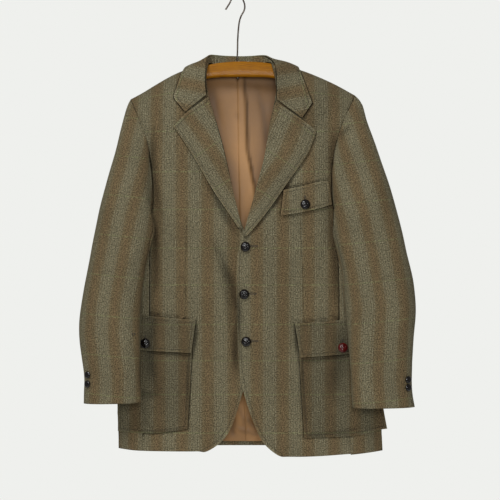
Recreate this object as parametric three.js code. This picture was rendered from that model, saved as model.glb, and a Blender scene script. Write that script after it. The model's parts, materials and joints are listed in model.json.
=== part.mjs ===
// Tweed hacking jacket on a wooden hanger. Millimetres, +Z up, front facing -Y.
// The origin is the inside top of the hook bend.
import * as THREE from 'three';

// ---- cloth ----
const CLOTH = 2;            // tweed wall
const LINING = 1;           // lining wall
const SEAM = 0.3;           // gap at every seam
const RIDGE_DROP = 70;      // depth of the rounding below the shoulder line
const ROUND = 2.2;          // roundness of the body's section

// Body sections: height, viewer's left side, viewer's right side, front depth, back depth.
const BODY = [
  { z: -140, left: -232, right: 262, front: 44, back: 36 },
  { z: -226, left: -232, right: 262, front: 50, back: 40 },
  { z: -330, left: -222, right: 252, front: 56, back: 42 },
  { z: -470, left: -212, right: 246, front: 58, back: 42 },
  { z: -560, left: -228, right: 260, front: 52, back: 38 },
  { z: -650, left: -242, right: 274, front: 46, back: 34 },
  { z: -760, left: -250, right: 292, front: 43, back: 34 },
  { z: -860, left: -251, right: 304, front: 42, back: 36 },
  { z: -970, left: -247, right: 307, front: 42, back: 38 },
];

// Shoulder line seen from the front: across, height.
const SHOULDER = [
  { x: -250, z: -240 }, { x: -224, z: -225 }, { x: -199, z: -211.5 }, { x: -172, z: -195 },
  { x: -135, z: -174 }, { x: -103, z: -160.5 }, { x: -66, z: -150 }, { x: -30, z: -143.5 },
  { x: 10, z: -141.5 }, { x: 50, z: -143 }, { x: 85, z: -148.5 }, { x: 125, z: -159.5 },
  { x: 157, z: -171 }, { x: 206, z: -192.5 }, { x: 249, z: -216 }, { x: 275, z: -231 },
];
const NECK = { left: -66, right: 85, back: -161, middle: 10 };

// Armhole ring round each arm, from the shoulder tip down the front, under the arm and up the
// back: across and height of the seam; face is 1 in front, 0 at the side, -1 behind.
const ARMHOLE_RIGHT = [
  { x: -223, z: -225, face: 1 }, { x: -221.6, z: -227.5, face: 1 },
  { x: -218, z: -234, face: 1 }, { x: -210, z: -253, face: 1 },
  { x: -198, z: -282, face: 1 }, { x: -185, z: -320, face: 1 }, { x: -177, z: -364, face: 1 },
  { x: -173, z: -410, face: 1 }, { x: -174, z: -443, face: 1 }, { x: -178, z: -463, face: 1 },
  { x: -193, z: -471, face: 1 }, { x: -211.4, z: -475, face: 0 }, { x: -200, z: -472, face: -1 },
  { x: -188, z: -464, face: -1 }, { x: -183, z: -440, face: -1 }, { x: -182, z: -400, face: -1 },
  { x: -187, z: -356, face: -1 }, { x: -196, z: -312, face: -1 }, { x: -206, z: -275, face: -1 },
  { x: -214, z: -249, face: -1 }, { x: -219, z: -235, face: -1 }, { x: -222, z: -227.5, face: -1 },
];
const ARMHOLE_LEFT = [
  { x: 249, z: -216, face: 1 }, { x: 248, z: -218.5, face: 1 },
  { x: 244, z: -228, face: 1 }, { x: 234, z: -249, face: 1 },
  { x: 221, z: -278, face: 1 }, { x: 208, z: -318, face: 1 }, { x: 200, z: -362, face: 1 },
  { x: 198, z: -408, face: 1 }, { x: 201, z: -446, face: 1 }, { x: 205, z: -471, face: 1 },
  { x: 226, z: -480, face: 1 }, { x: 245.6, z: -484, face: 0 }, { x: 234, z: -481, face: -1 },
  { x: 221, z: -472, face: -1 }, { x: 215, z: -446, face: -1 }, { x: 212, z: -404, face: -1 },
  { x: 216, z: -358, face: -1 }, { x: 226, z: -310, face: -1 }, { x: 236, z: -270, face: -1 },
  { x: 242.5, z: -241, face: -1 }, { x: 246, z: -226, face: -1 }, { x: 248.2, z: -218.5, face: -1 },
];
const FRONT_SEAM_NODE = 9;
const UNDERARM_NODE = 11;
const BACK_SEAM_NODE = 13;

// Side seams and fronts: height, across.
const FRONT_SEAM_RIGHT = [[-463, -178], [-595, -182], [-677, -181], [-814, -190], [-960, -196]];
const BACK_SEAM_RIGHT = [[-464, -188], [-600, -196], [-760, -208], [-960, -206]];
const FRONT_SEAM_LEFT = [[-471, 205], [-614, 215], [-681, 214], [-835, 230], [-966, 238]];
const BACK_SEAM_LEFT = [[-472, 221], [-614, 236], [-760, 256], [-960, 262]];
const FRONT_EDGE_RIGHT = [
  [-148, -66], [-173, -62], [-202, -62], [-219, -58], [-256, -47], [-322, -28], [-495, 13],
  [-511, 20], [-562, 37], [-730, 37], [-793, 28], [-830, 15], [-852, 8], [-891, -3], [-923, -19],
  [-942, -34], [-952, -46], [-958, -60],
];
const FRONT_EDGE_LEFT = [
  [-147, 85], [-166, 81], [-190, 83], [-214, 81], [-232, 80], [-245, 75], [-287, 68], [-331, 62],
  [-350, 58], [-455, 30], [-503, 16], [-526, 10], [-555, 2], [-606, 0], [-654, 0], [-730, 3],
  [-803, 8], [-845, 18], [-894, 34], [-930, 50], [-948, 62], [-959, 74], [-965, 86],
];
const BACK_SEAM = [[-161, 9], [-330, 12], [-560, 17], [-760, 22], [-960, 28]];

// Hems: across, height.
const HEM_FRONT_RIGHT = [[-248, -956], [-180, -959], [-80, -958.5], [-60, -958], [-46, -955]];
const HEM_FRONT_LEFT = [[74, -961], [86, -966], [101, -969], [133, -969.5], [235, -965], [308, -960]];
const HEM_BACK = [[-248, -956], [28, -955.5], [308, -960]];

// Large soft folds: top and bottom of the fold, width, height, and the face it is on.
const FOLDS = [
  { x0: -36, z0: -520, x1: -4, z1: -690, width: 16, height: -3.5, face: 1 },
  { x0: -92, z0: -430, x1: -86, z1: -900, width: 34, height: 3.5, face: 1 },
  { x0: -150, z0: -300, x1: -142, z1: -620, width: 24, height: 3, face: 1 },
  { x0: 70, z0: -480, x1: 62, z1: -900, width: 26, height: 3, face: 1 },
  { x0: 118, z0: -500, x1: 108, z1: -940, width: 26, height: -3, face: 1 },
  { x0: 178, z0: -300, x1: 172, z1: -650, width: 26, height: 3, face: 1 },
  { x0: -120, z0: -300, x1: -110, z1: -900, width: 34, height: 3.5, face: -1 },
  { x0: -40, z0: -400, x1: -36, z1: -930, width: 30, height: -2.5, face: -1 },
  { x0: 70, z0: -330, x1: 80, z1: -930, width: 34, height: 3, face: -1 },
  { x0: 150, z0: -300, x1: 168, z1: -900, width: 32, height: 3, face: -1 },
];
const OVERLAP = { lift: 3.2, flat: 52, end: 108 };

// Sleeve rings from the armhole down: outer edge, inner edge, middle depth, half depth.
const SLEEVE_RIGHT = [
  { ox: -224, oz: -225, ix: -211, iz: -475, mid: 0, half: 34 },
  { ox: -232, oz: -246, ix: -208, iz: -480, mid: -3, half: 42 },
  { ox: -240, oz: -278, ix: -200, iz: -488, mid: -8, half: 50 },
  { ox: -248, oz: -318, ix: -186, iz: -500, mid: -17, half: 53 },
  { ox: -259, oz: -363, ix: -178, iz: -514, mid: -29, half: 52 },
  { ox: -273, oz: -415, ix: -177, iz: -529, mid: -38, half: 50 },
  { ox: -287, oz: -476, ix: -178, iz: -546, mid: -41, half: 50 },
  { ox: -300, oz: -545, ix: -185, iz: -575, mid: -50, half: 47 },
  { ox: -310, oz: -604, ix: -190, iz: -615, mid: -58, half: 44 },
  { ox: -318, oz: -655, ix: -195, iz: -659, mid: -64, half: 42 },
  { ox: -321, oz: -709, ix: -196, iz: -711, mid: -69, half: 40 },
  { ox: -317, oz: -751, ix: -196, iz: -754, mid: -72, half: 38 },
  { ox: -311, oz: -795, ix: -197, iz: -801, mid: -74, half: 35 },
  { ox: -312, oz: -826, ix: -195, iz: -828, mid: -75, half: 33 },
  { ox: -312, oz: -854, ix: -194, iz: -852, mid: -76, half: 32 },
];
const SLEEVE_LEFT = [
  { ox: 250, oz: -216, ix: 245.6, iz: -484, mid: 0, half: 34 },
  { ox: 264, oz: -234, ix: 240, iz: -489, mid: -3, half: 43 },
  { ox: 272, oz: -266, ix: 230, iz: -497, mid: -8, half: 51 },
  { ox: 285, oz: -304, ix: 216, iz: -508, mid: -18, half: 54 },
  { ox: 299, oz: -350, ix: 208, iz: -521, mid: -31, half: 53 },
  { ox: 315, oz: -400, ix: 206, iz: -537, mid: -40, half: 51 },
  { ox: 334, oz: -466, ix: 207, iz: -552, mid: -41, half: 50 },
  { ox: 351, oz: -545, ix: 216, iz: -578, mid: -50, half: 47 },
  { ox: 364, oz: -602, ix: 219, iz: -617, mid: -58, half: 45 },
  { ox: 368, oz: -656, ix: 223, iz: -661, mid: -64, half: 43 },
  { ox: 364, oz: -709, ix: 228, iz: -713, mid: -69, half: 41 },
  { ox: 361, oz: -752, ix: 232, iz: -756, mid: -72, half: 39 },
  { ox: 360, oz: -798, ix: 235, iz: -803, mid: -74, half: 36 },
  { ox: 361, oz: -832, ix: 236, iz: -836, mid: -75, half: 34 },
  { ox: 366, oz: -861, ix: 238, iz: -863, mid: -76, half: 33 },
];
const BESIDE_STEP = 2.3;        // how far each ring stands outboard of the armhole seam
const SLEEVE_JOIN_RINGS = 6;   // rings over which the armhole's shape gives way to an oval
const FORE_SEAM_NODE = 8;
const HIND_SEAM_NODE = -4;     // counted back from the shoulder tip
const CUFF_TURN = { hind: 10, fore: 190 };

// Collar stations from the viewer's left front round the back: roll edge, then outer edge.
const COLLAR = [
  { rx: -62, ry: -53, rz: -220, ex: -128, ez: -226, face: 1 },
  { rx: -64, ry: -50, rz: -202, ex: -124, ez: -212, face: 1 },
  { rx: -65, ry: -36, rz: -176, ex: -116, ez: -186, face: 1 },
  { rx: -64, ry: -24, rz: -154, ex: -109, ez: -169, face: 1 },
  { rx: -61, ry: -9, rz: -139, ex: -104, ez: -158, face: 0 },
  { rx: -54, ry: 8, rz: -131, ex: -97, ez: -168, face: -1 },
  { rx: -38, ry: 22, rz: -129.5, ex: -72, ez: -178, face: -1 },
  { rx: -16, ry: 29, rz: -129.5, ex: -34, ez: -183, face: -1 },
  { rx: 8, ry: 31, rz: -129.5, ex: 10, ez: -185, face: -1 },
  { rx: 33, ry: 28, rz: -129.5, ex: 54, ez: -183, face: -1 },
  { rx: 52, ry: 20, rz: -130, ex: 92, ez: -178, face: -1 },
  { rx: 65, ry: 7, rz: -134, ex: 118, ez: -168, face: -1 },
  { rx: 75, ry: -9, rz: -144, ex: 127, ez: -157, face: 0 },
  { rx: 82, ry: -25, rz: -162, ex: 131, ez: -171, face: 1 },
  { rx: 84, ry: -37, rz: -184, ex: 139, ez: -193, face: 1 },
  { rx: 84, ry: -50, rz: -210, ex: 149, ez: -219, face: 1 },
  { rx: 84, ry: -53, rz: -230, ex: 156, ez: -237, face: 1 },
];
const NOTCH = { right: { x: -105, z: -256 }, left: { x: 135, z: -268 }, at: 0.66 };
const COLLAR_ACROSS = [0, 0.2, 0.43, 0.66, 0.84, 1];
const STAND_ROWS = 4;

// Lapels from the break up to the top edge: roll edge, outer edge.
const LAPEL_RIGHT = [
  { rx: 11.5, rz: -494, ex: 8, ez: -500 }, { rx: 4, rz: -462, ex: -14, ez: -467 },
  { rx: -4, rz: -428, ex: -38, ez: -432 }, { rx: -12, rz: -394, ex: -60, ez: -396 },
  { rx: -20, rz: -360, ex: -81, ez: -360 }, { rx: -28, rz: -326, ex: -100, ez: -329 },
  { rx: -38, rz: -290, ex: -117, ez: -303 }, { rx: -47, rz: -256, ex: -129, ez: -286 },
];
const LAPEL_LEFT = [
  { rx: 15, rz: -510, ex: 19, ez: -515 }, { rx: 22, rz: -480, ex: 46, ez: -484 },
  { rx: 32, rz: -446, ex: 73, ez: -449 }, { rx: 41, rz: -412, ex: 98, ez: -413 },
  { rx: 51, rz: -376, ex: 124, ez: -376 }, { rx: 59, rz: -342, ex: 146, ez: -344 },
  { rx: 66, rz: -300, ex: 159, ez: -314 }, { rx: 73, rz: -262, ex: 165, ez: -294 },
];
const LAPEL_TOP_RIGHT = [{ x: -57, z: -224 }, { x: -104, z: -259 }, { x: -129, z: -285 }];
const LAPEL_TOP_LEFT = [{ x: 82, z: -235 }, { x: 134, z: -271 }, { x: 165, z: -294 }];
const LAPEL_LIFT = { edge: 2.8, middle: 6.5 };

// Pockets and flaps by their corners: across, height; turned edges wrap the side.
const POCKET_RIGHT = {
  top: [[-88, -697], [-170, -699], [-247, -692]], bottom: [[-101, -912], [-185, -922], [-244, -919]],
};
const POCKET_LEFT = {
  top: [[127, -703], [215, -702], [288, -694]], bottom: [[141, -930], [250, -927], [301, -913]],
};
const FLAP_RIGHT = {
  top: [[-83, -686], [-170, -679], [-247, -671]], bottom: [[-92, -753], [-170, -750], [-247, -744]],
};
const FLAP_LEFT = {
  top: [[121, -693], [210, -687], [289, -676]], bottom: [[132, -763], [215, -757], [291, -748]],
};
const CHEST_FLAP = {
  top: [[98, -417], [140, -408], [178, -399], [190, -399]],
  bottom: [[91, -470], [130, -464], [165, -456], [195.5, -447]],
};
const POCKET_LIFT = { edge: 2.9, middle: 6.5, corner: 17 };
const FLAP_LIFT = { top: 3.0, near: 8.5, hang: 13 };
const CHEST_LIFT = { top: 3.0, near: 4.5, hang: 7.5 };

// Buttons: across, height, radius.
const FRONT_BUTTONS = [{ x: 19, z: -534 }, { x: 16.5, z: -632 }, { x: 20.5, z: -730 }];
const BUTTON_RADIUS = 10.2;
const CUFF_RADIUS = 7.2;
const CHEST_BUTTON = { x: 142, z: -447 };
const POCKET_BUTTON_RIGHT = { x: -188, z: -734 };
const POCKET_BUTTON_LEFT = { x: 220, z: -743 };
const CUFF_BUTTONS_RIGHT = [-794, -813];
const CUFF_BUTTONS_LEFT = [-804, -820];
const CUFF_BUTTON_ANGLE = 38;

// Hanger: bar half height, half depth and end; the hook's wire.
const BAR = { left: -196, right: 222, half: 16, endHalf: 9, depth: 7, endDepth: 5, gap: 0.4 };
const WIRE_RADIUS = 1.7;
const WIRE = [
  [1, -145.6], [2, -129], [3, -93], [6, -62], [10, -49], [16, -38], [17.5, -28], [15.6, -20],
  [12, -12], [8, -4], [0, 1.7], [-6, -2.5], [-9, -9.5], [-12, -18], [-17, -27], [-23, -36],
];
const NUT = { x: 3, z: -178.4, radius: 3.2, height: 4 };

const TWEED = { color: 0x66593f, roughness: 0.92, metalness: 0 };
const SATIN = { color: 0x966f4e, roughness: 0.5, metalness: 0 };
const LEATHER = { color: 0x24120e, roughness: 0.35, metalness: 0 };
const OXBLOOD = { color: 0x4a1712, roughness: 0.35, metalness: 0 };
const WOOD = { color: 0xb87a22, roughness: 0.4, metalness: 0 };
const STEEL = { color: 0x3a3836, roughness: 0.4, metalness: 1 };

// ---- helpers ----
const group = new THREE.Group();
group.name = 'tweed_hacking_jacket';

function addMesh(name, geometry, look) {
  const mesh = new THREE.Mesh(geometry, new THREE.MeshStandardMaterial(look));
  mesh.name = name;
  group.add(mesh);
}

// Smooth reading of a table of [at, value] pairs.
function read(table, at) {
  const rising = table[0][0] < table[table.length - 1][0];
  const rows = rising ? table : [...table].reverse();
  const last = rows.length - 1;
  if (at <= rows[0][0]) return rows[0][1];
  if (at >= rows[last][0]) return rows[last][1];
  let k = 0;
  while (at > rows[k + 1][0]) k += 1;
  const [a0, v0] = rows[k];
  const [a1, v1] = rows[k + 1];
  const slope = (v1 - v0) / (a1 - a0);
  const before = k > 0 ? (v0 - rows[k - 1][1]) / (a0 - rows[k - 1][0]) : slope;
  const after = k < last - 1 ? (rows[k + 2][1] - v1) / (rows[k + 2][0] - a1) : slope;
  const m0 = before * slope > 0 ? (2 * before * slope) / (before + slope) : 0;
  const m1 = after * slope > 0 ? (2 * after * slope) / (after + slope) : 0;
  const h = a1 - a0;
  const t = (at - a0) / h;
  const t2 = t * t;
  const t3 = t2 * t;
  return v0 * (2 * t3 - 3 * t2 + 1) + h * m0 * (t3 - 2 * t2 + t)
    + v1 * (3 * t2 - 2 * t3) + h * m1 * (t3 - t2);
}

const pairs = (rows, key) => rows.map((row) => [row.z, row[key]]);
const BODY_LEFT = pairs(BODY, 'left');
const BODY_RIGHT = pairs(BODY, 'right');
const BODY_FRONT = pairs(BODY, 'front');
const BODY_BACK = pairs(BODY, 'back');
const RIDGE = SHOULDER.map(({ x, z }) => [x, z]);
const mix = (a, b, t) => a + (b - a) * t;
const ease = (t) => t * t * (3 - 2 * t);
const clamp = (t) => Math.min(1, Math.max(0, t));

const sideAt = (z) => {
  const left = read(BODY_LEFT, z);
  const right = read(BODY_RIGHT, z);
  return { middle: (left + right) / 2, half: (right - left) / 2 };
};

// Angle round the body: 0 at the viewer's right side, 180 degrees at the left, minus behind.
function angleAt(x, z, face) {
  const { middle, half } = sideAt(z);
  const c = Math.max(-1, Math.min(1, (x - middle) / half));
  return Math.acos(Math.sign(c) * Math.abs(c) ** (ROUND / 2)) * (face < 0 ? -1 : 1);
}

// A place on the body's surface with its outward direction.
function surface(angle, z) {
  const { middle, half } = sideAt(z);
  const c = Math.sign(Math.cos(angle)) * Math.abs(Math.cos(angle)) ** (2 / ROUND);
  const s = Math.abs(Math.sin(angle)) ** (2 / ROUND);
  const behind = Math.sin(angle) < 0;
  const x = middle + half * c;
  const depth = read(behind ? BODY_BACK : BODY_FRONT, z);
  const below = read(RIDGE, x) - z;
  const t = clamp(1 - below / RIDGE_DROP);
  const cap = Math.sqrt(Math.max(0, 1 - t * t));
  const y = depth * s * cap * (behind ? 1 : -1);
  const slope = (read(RIDGE, x + 1) - read(RIDGE, x - 1)) / 2;
  const sp = s ** ROUND;
  const normal = new THREE.Vector3(
    (depth * Math.sign(c) * Math.abs(c) ** (ROUND - 1) * cap * cap) / half
      - (depth * sp * t * slope) / RIDGE_DROP,
    s ** (ROUND - 1) * cap * (behind ? 1 : -1),
    (depth * sp * t) / RIDGE_DROP,
  ).normalize();
  return { point: new THREE.Vector3(x, y, z), normal };
}

function foldAt(x, z, behind) {
  let sum = 0;
  for (const fold of FOLDS) {
    if ((fold.face < 0) !== behind) continue;
    const t = (z - fold.z0) / (fold.z1 - fold.z0);
    const fade = ease(clamp(1 - Math.abs(t - 0.5) * 2)) ;
    const off = (x - mix(fold.x0, fold.x1, clamp(t))) / fold.width;
    sum += fold.height * fade * Math.exp(-off * off);
  }
  return sum;
}

// A skin point: the body's surface with its folds, moved out by a lift.
function skin(angle, z, lift = 0, thick = CLOTH) {
  const { point, normal } = surface(angle, z);
  const move = foldAt(point.x, z, Math.sin(angle) < 0) + lift;
  const outer = point.clone().addScaledVector(normal, move);
  return { outer, inner: outer.clone().addScaledVector(normal, -thick), normal };
}

// Lift of the wearer's left front, which laps over the right one at the closure.
function lapOver(x, z) {
  const low = clamp((z + 905) / 40);
  const across = 1 - ease(clamp((x - OVERLAP.flat) / (OVERLAP.end - OVERLAP.flat)));
  return OVERLAP.lift * across * ease(low) * ease(clamp((-z - 300) / 120));
}

// Pushes a point out of the body until it stands clear by the gap.
function clearOf(point, gap) {
  const p = point.clone();
  for (let pass = 0; pass < 6; pass += 1) {
    const { middle, half } = sideAt(p.z);
    const c = Math.abs(p.x - middle) / half;
    const depth = read(p.y > 0 ? BODY_BACK : BODY_FRONT, p.z);
    const below = read(RIDGE, p.x) - p.z;
    const t = Math.max(0, 1 - below / RIDGE_DROP);
    if (t < 0.35 || c > 0.985) {
      const deep = depth * Math.sqrt(Math.max(0.04, 1 - t * t));
      const e = Math.abs(p.y) / deep;
      const k = (c ** ROUND + e ** ROUND) ** (1 / ROUND);
      const away = new THREE.Vector3(
        (Math.sign(p.x - middle) * c ** (ROUND - 1)) / half,
        (Math.sign(p.y) * e ** (ROUND - 1)) / deep,
        0,
      ).multiplyScalar(k ** (1 - ROUND));
      const lack = gap - (k - 1) / Math.max(away.length(), 0.002);
      if (lack <= 0) break;
      p.addScaledVector(away.normalize(), Math.min(lack, 8));
      continue;
    }
    const side = Math.max(0, 1 - c ** ROUND) ** (2 / ROUND);
    const g = (p.y / depth) ** 2 + t * t * side - side;
    const sideSlope = -2 * Math.max(0, 1 - c ** ROUND) ** (2 / ROUND - 1) * c ** (ROUND - 1);
    const slope = (read(RIDGE, p.x + 1) - read(RIDGE, p.x - 1)) / 2;
    const grad = new THREE.Vector3(
      ((t * t - 1) * sideSlope * Math.sign(p.x - middle)) / half
        - (2 * t * slope * side) / RIDGE_DROP,
      (2 * p.y) / (depth * depth),
      (2 * t * side) / RIDGE_DROP,
    );
    const length = Math.max(grad.length(), 0.002);
    const short = gap - g / length;
    if (short <= 0) break;
    p.addScaledVector(grad.normalize(), Math.min(short, 6));
  }
  return p;
}

// Draws the named sides of a grid back by half a seam.
function trim(grid, sides) {
  const rows = grid.length;
  const cols = grid[0].length;
  const pull = (a, b) => {
    const d = new THREE.Vector3().subVectors(b.outer, a.outer).setLength(SEAM / 2);
    a.outer.add(d);
    a.inner.add(d);
  };
  if (sides.includes('first')) grid.forEach((row) => pull(row[0], row[1]));
  if (sides.includes('last')) grid.forEach((row) => pull(row[cols - 1], row[cols - 2]));
  if (sides.includes('top')) grid[rows - 1].forEach((a, j) => pull(a, grid[rows - 2][j]));
  if (sides.includes('bottom')) grid[0].forEach((a, j) => pull(a, grid[1][j]));
  return grid;
}

// A closed cloth wall from rows of outer and inner points, each cell cut on its longer diagonal.
function sheet(grid) {
  const rows = grid.length;
  const cols = grid[0].length;
  const at = [];
  grid.forEach((row) => row.forEach((p) => at.push(p.outer.x, p.outer.y, p.outer.z)));
  grid.forEach((row) => row.forEach((p) => at.push(p.inner.x, p.inner.y, p.inner.z)));
  const id = (i, j, inside) => i * cols + j + (inside ? rows * cols : 0);
  const index = [];
  const spot = (k) => new THREE.Vector3(at[3 * k], at[3 * k + 1], at[3 * k + 2]);
  const quad = (a, b, c, d) => {
    const long = spot(a).distanceTo(spot(c)) >= spot(b).distanceTo(spot(d));
    if (long) index.push(a, b, c, a, c, d);
    else index.push(a, b, d, b, c, d);
  };
  for (let i = 0; i < rows - 1; i += 1) {
    for (let j = 0; j < cols - 1; j += 1) {
      quad(id(i, j), id(i, j + 1), id(i + 1, j + 1), id(i + 1, j));
      quad(id(i + 1, j, 1), id(i + 1, j + 1, 1), id(i, j + 1, 1), id(i, j, 1));
    }
  }
  for (let j = 0; j < cols - 1; j += 1) {
    quad(id(0, j + 1), id(0, j), id(0, j, 1), id(0, j + 1, 1));
    quad(id(rows - 1, j), id(rows - 1, j + 1), id(rows - 1, j + 1, 1), id(rows - 1, j, 1));
  }
  for (let i = 0; i < rows - 1; i += 1) {
    quad(id(i, 0), id(i + 1, 0), id(i + 1, 0, 1), id(i, 0, 1));
    quad(id(i + 1, cols - 1), id(i, cols - 1), id(i, cols - 1, 1), id(i + 1, cols - 1, 1));
  }
  const geometry = new THREE.BufferGeometry();
  geometry.setAttribute('position', new THREE.Float32BufferAttribute(at, 3));
  const mid = Math.floor(rows / 2) * cols + Math.floor(cols / 2);
  const across = spot(mid + 1).sub(spot(mid));
  const up = spot(mid + cols).sub(spot(mid));
  const out = spot(mid).sub(spot(mid + rows * cols));
  if (across.cross(up).dot(out) < 0) {
    for (let k = 0; k < index.length; k += 3) {
      const keep = index[k];
      index[k] = index[k + 1];
      index[k + 1] = keep;
    }
  }
  geometry.setIndex(index);
  geometry.computeVertexNormals();
  return geometry;
}

const addSheet = (name, grid, look) => addMesh(name, sheet(grid), look);

// ---- body panels ----
const range = (n) => Array.from({ length: n }, (unused, k) => k / (n - 1));

// Rows of a panel between an outer line (side seam and armhole) and an inner line (front edge or
// back seam), from the hem up to the top line.
function panel({ outerX, innerX, hem, top, levels, face, cols, lift, thick, fromInner }) {
  return levels.map((v) => {
    const rowZ = (x) => mix(hem(x), top(x), v);
    const end = (line, guess) => {
      let x = guess;
      for (let k = 0; k < 60; k += 1) x = mix(x, line(rowZ(x)), 0.6);
      return x;
    };
    const xo = end(outerX, outerX(-500));
    const xi = end(innerX, innerX(-500));
    const zo = rowZ(xo);
    const zi = rowZ(xi);
    const ao = angleAt(xo, zo, face);
    const ai = angleAt(xi, zi, face);
    return range(cols).map((u) => {
      const share = fromInner ? u * (1.25 - 0.25 * u) : u;
      const angle = mix(ao, ai, share);
      let z = mix(zo, zi, share);
      for (let k = 0; k < 8; k += 1) z = rowZ(surface(angle, z).point.x);
      const x = surface(angle, z).point.x;
      return skin(angle, z, lift ? lift(x, z) : 0, thick);
    });
  });
}

const ridgeTop = (x) => read(RIDGE, x);
const neckTop = (x) => {
  const t = clamp(x < NECK.middle
    ? (x - NECK.left) / (NECK.middle - NECK.left)
    : (NECK.right - x) / (NECK.right - NECK.middle));
  const drop = Math.sin((Math.PI / 2) * t) ** 0.8;
  return read(RIDGE, x) - drop * (read(RIDGE, NECK.middle) - NECK.back);
};

const armLine = (nodes) => nodes.map(({ x, z }) => [z, x]);

// Row levels that meet the armhole nodes exactly, with plain rows below.
function levelsFor(nodes, hem, top, below) {
  const upper = nodes.map(({ x, z }) => (z - hem(x)) / (top(x) - hem(x)));
  upper[upper.length - 1] = 1;
  const lower = range(below).slice(0, -1).map((t) => upper[0] * t ** 1.35);
  return [...lower, ...upper];
}

function bodySide(arm, frontSeam, backSeam, frontEdge, hemFront, names, lift, opposite) {
  const frontNodes = arm.slice(0, FRONT_SEAM_NODE + 1).reverse();
  const backNodes = [...arm.slice(BACK_SEAM_NODE), arm[0]];
  const frontLine = [...frontSeam].reverse().slice(0, -1).concat(armLine(frontNodes));
  const backLine = [...backSeam].reverse().slice(0, -1).concat(armLine(backNodes));
  const hemF = (x) => read(hemFront, x);
  const hemB = (x) => read(HEM_BACK, x);
  const front = panel({
    outerX: (z) => read(frontLine, z),
    innerX: (z) => read(frontEdge, z),
    hem: hemF,
    top: ridgeTop,
    levels: levelsFor(frontNodes, hemF, ridgeTop, 13),
    face: 1,
    cols: 13,
    lift,
  });
  addSheet(names.front, trim(front, ['first', 'top']), TWEED);
  const backLevels = levelsFor(backNodes, hemB, neckTop, 13);
  const back = panel({
    outerX: (z) => read(backLine, z),
    innerX: (z) => read(BACK_SEAM, z),
    hem: hemB,
    top: neckTop,
    levels: backLevels,
    face: -1,
    cols: 11,
  });
  addSheet(names.back, trim(back, ['first', 'last', 'top']), TWEED);

  const under = arm.slice(FRONT_SEAM_NODE, BACK_SEAM_NODE + 1);
  const turn = opposite ? 1 : 0;
  const wrap = (a) => (turn && a < 0 ? a + 2 * Math.PI : a);
  const side = range(13).map((v) => under.map((node, j) => {
    const share = j / (under.length - 1);
    const z = mix(mix(hemF(node.x), hemB(node.x), share), node.z, v ** 1.35);
    const a0 = angleAt(read(frontLine, z), z, 1);
    const a1 = wrap(angleAt(read(backLine, z), z, -1));
    const nodeAngle = node.face === 0 ? Math.PI * turn : wrap(angleAt(node.x, node.z, node.face));
    const b0 = angleAt(under[0].x, under[0].z, 1);
    const b1 = wrap(angleAt(under[4].x, under[4].z, -1));
    const part = (nodeAngle - b0) / (b1 - b0);
    return skin(mix(a0, a1, part), z);
  }));
  addSheet(names.side, trim(side, ['first', 'last', 'top']), TWEED);

  const liningLevels = [0.012, ...backLevels.slice(1).filter((v) => v < 0.99)];
  const lining = panel({
    outerX: (z) => read(backLine, z) + (turn ? 12 : -12),
    innerX: (z) => read(BACK_SEAM, z) + (turn ? -2 : -9),
    hem: hemB,
    top: neckTop,
    levels: liningLevels,
    face: -1,
    cols: 9,
    thick: LINING,
    lift: (x, z) => {
      const edge = clamp(1 - Math.abs(x - read(BACK_SEAM, z)) / 30);
      return -(CLOTH + 1.2) - (turn ? 0 : 2.6 * ease(edge));
    },
  });
  addSheet(names.lining, lining, SATIN);
  return { frontLine, backLine };
}

bodySide(ARMHOLE_RIGHT, FRONT_SEAM_RIGHT, BACK_SEAM_RIGHT, FRONT_EDGE_RIGHT, HEM_FRONT_RIGHT, {
  front: 'front_right', back: 'back_right', side: 'side_right', lining: 'lining_back_right',
}, undefined, true);
bodySide(ARMHOLE_LEFT, FRONT_SEAM_LEFT, BACK_SEAM_LEFT, FRONT_EDGE_LEFT, HEM_FRONT_LEFT, {
  front: 'front_left', back: 'back_left', side: 'side_left', lining: 'lining_back_left',
}, lapOver, false);

// ---- sleeves ----
function ringPoint(rows, i, turn) {
  const r = rows[i];
  const middle = new THREE.Vector3((r.ox + r.ix) / 2, r.mid, (r.oz + r.iz) / 2);
  const reach = new THREE.Vector3(r.ox - r.ix, 0, r.oz - r.iz).multiplyScalar(0.5);
  const c = Math.sign(Math.cos(turn)) * Math.abs(Math.cos(turn)) ** 0.9;
  const s = Math.sign(Math.sin(turn)) * Math.abs(Math.sin(turn)) ** 0.9;
  return middle.addScaledVector(reach, c).add(new THREE.Vector3(0, -r.half * s, 0));
}

// Clearance of a sleeve from the body at a height, on the wearer's right or left.
function sleeveGap(z, side) {
  const under = side < 0 ? [[-540, 11], [-500, 10], [-478, 8.5]] : [[-540, 10], [-490, 8]];
  return read([[-900, 22], [-690, 21], [-620, 14], ...under, [-460, 4], [-300, 1]], z);
}

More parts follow.
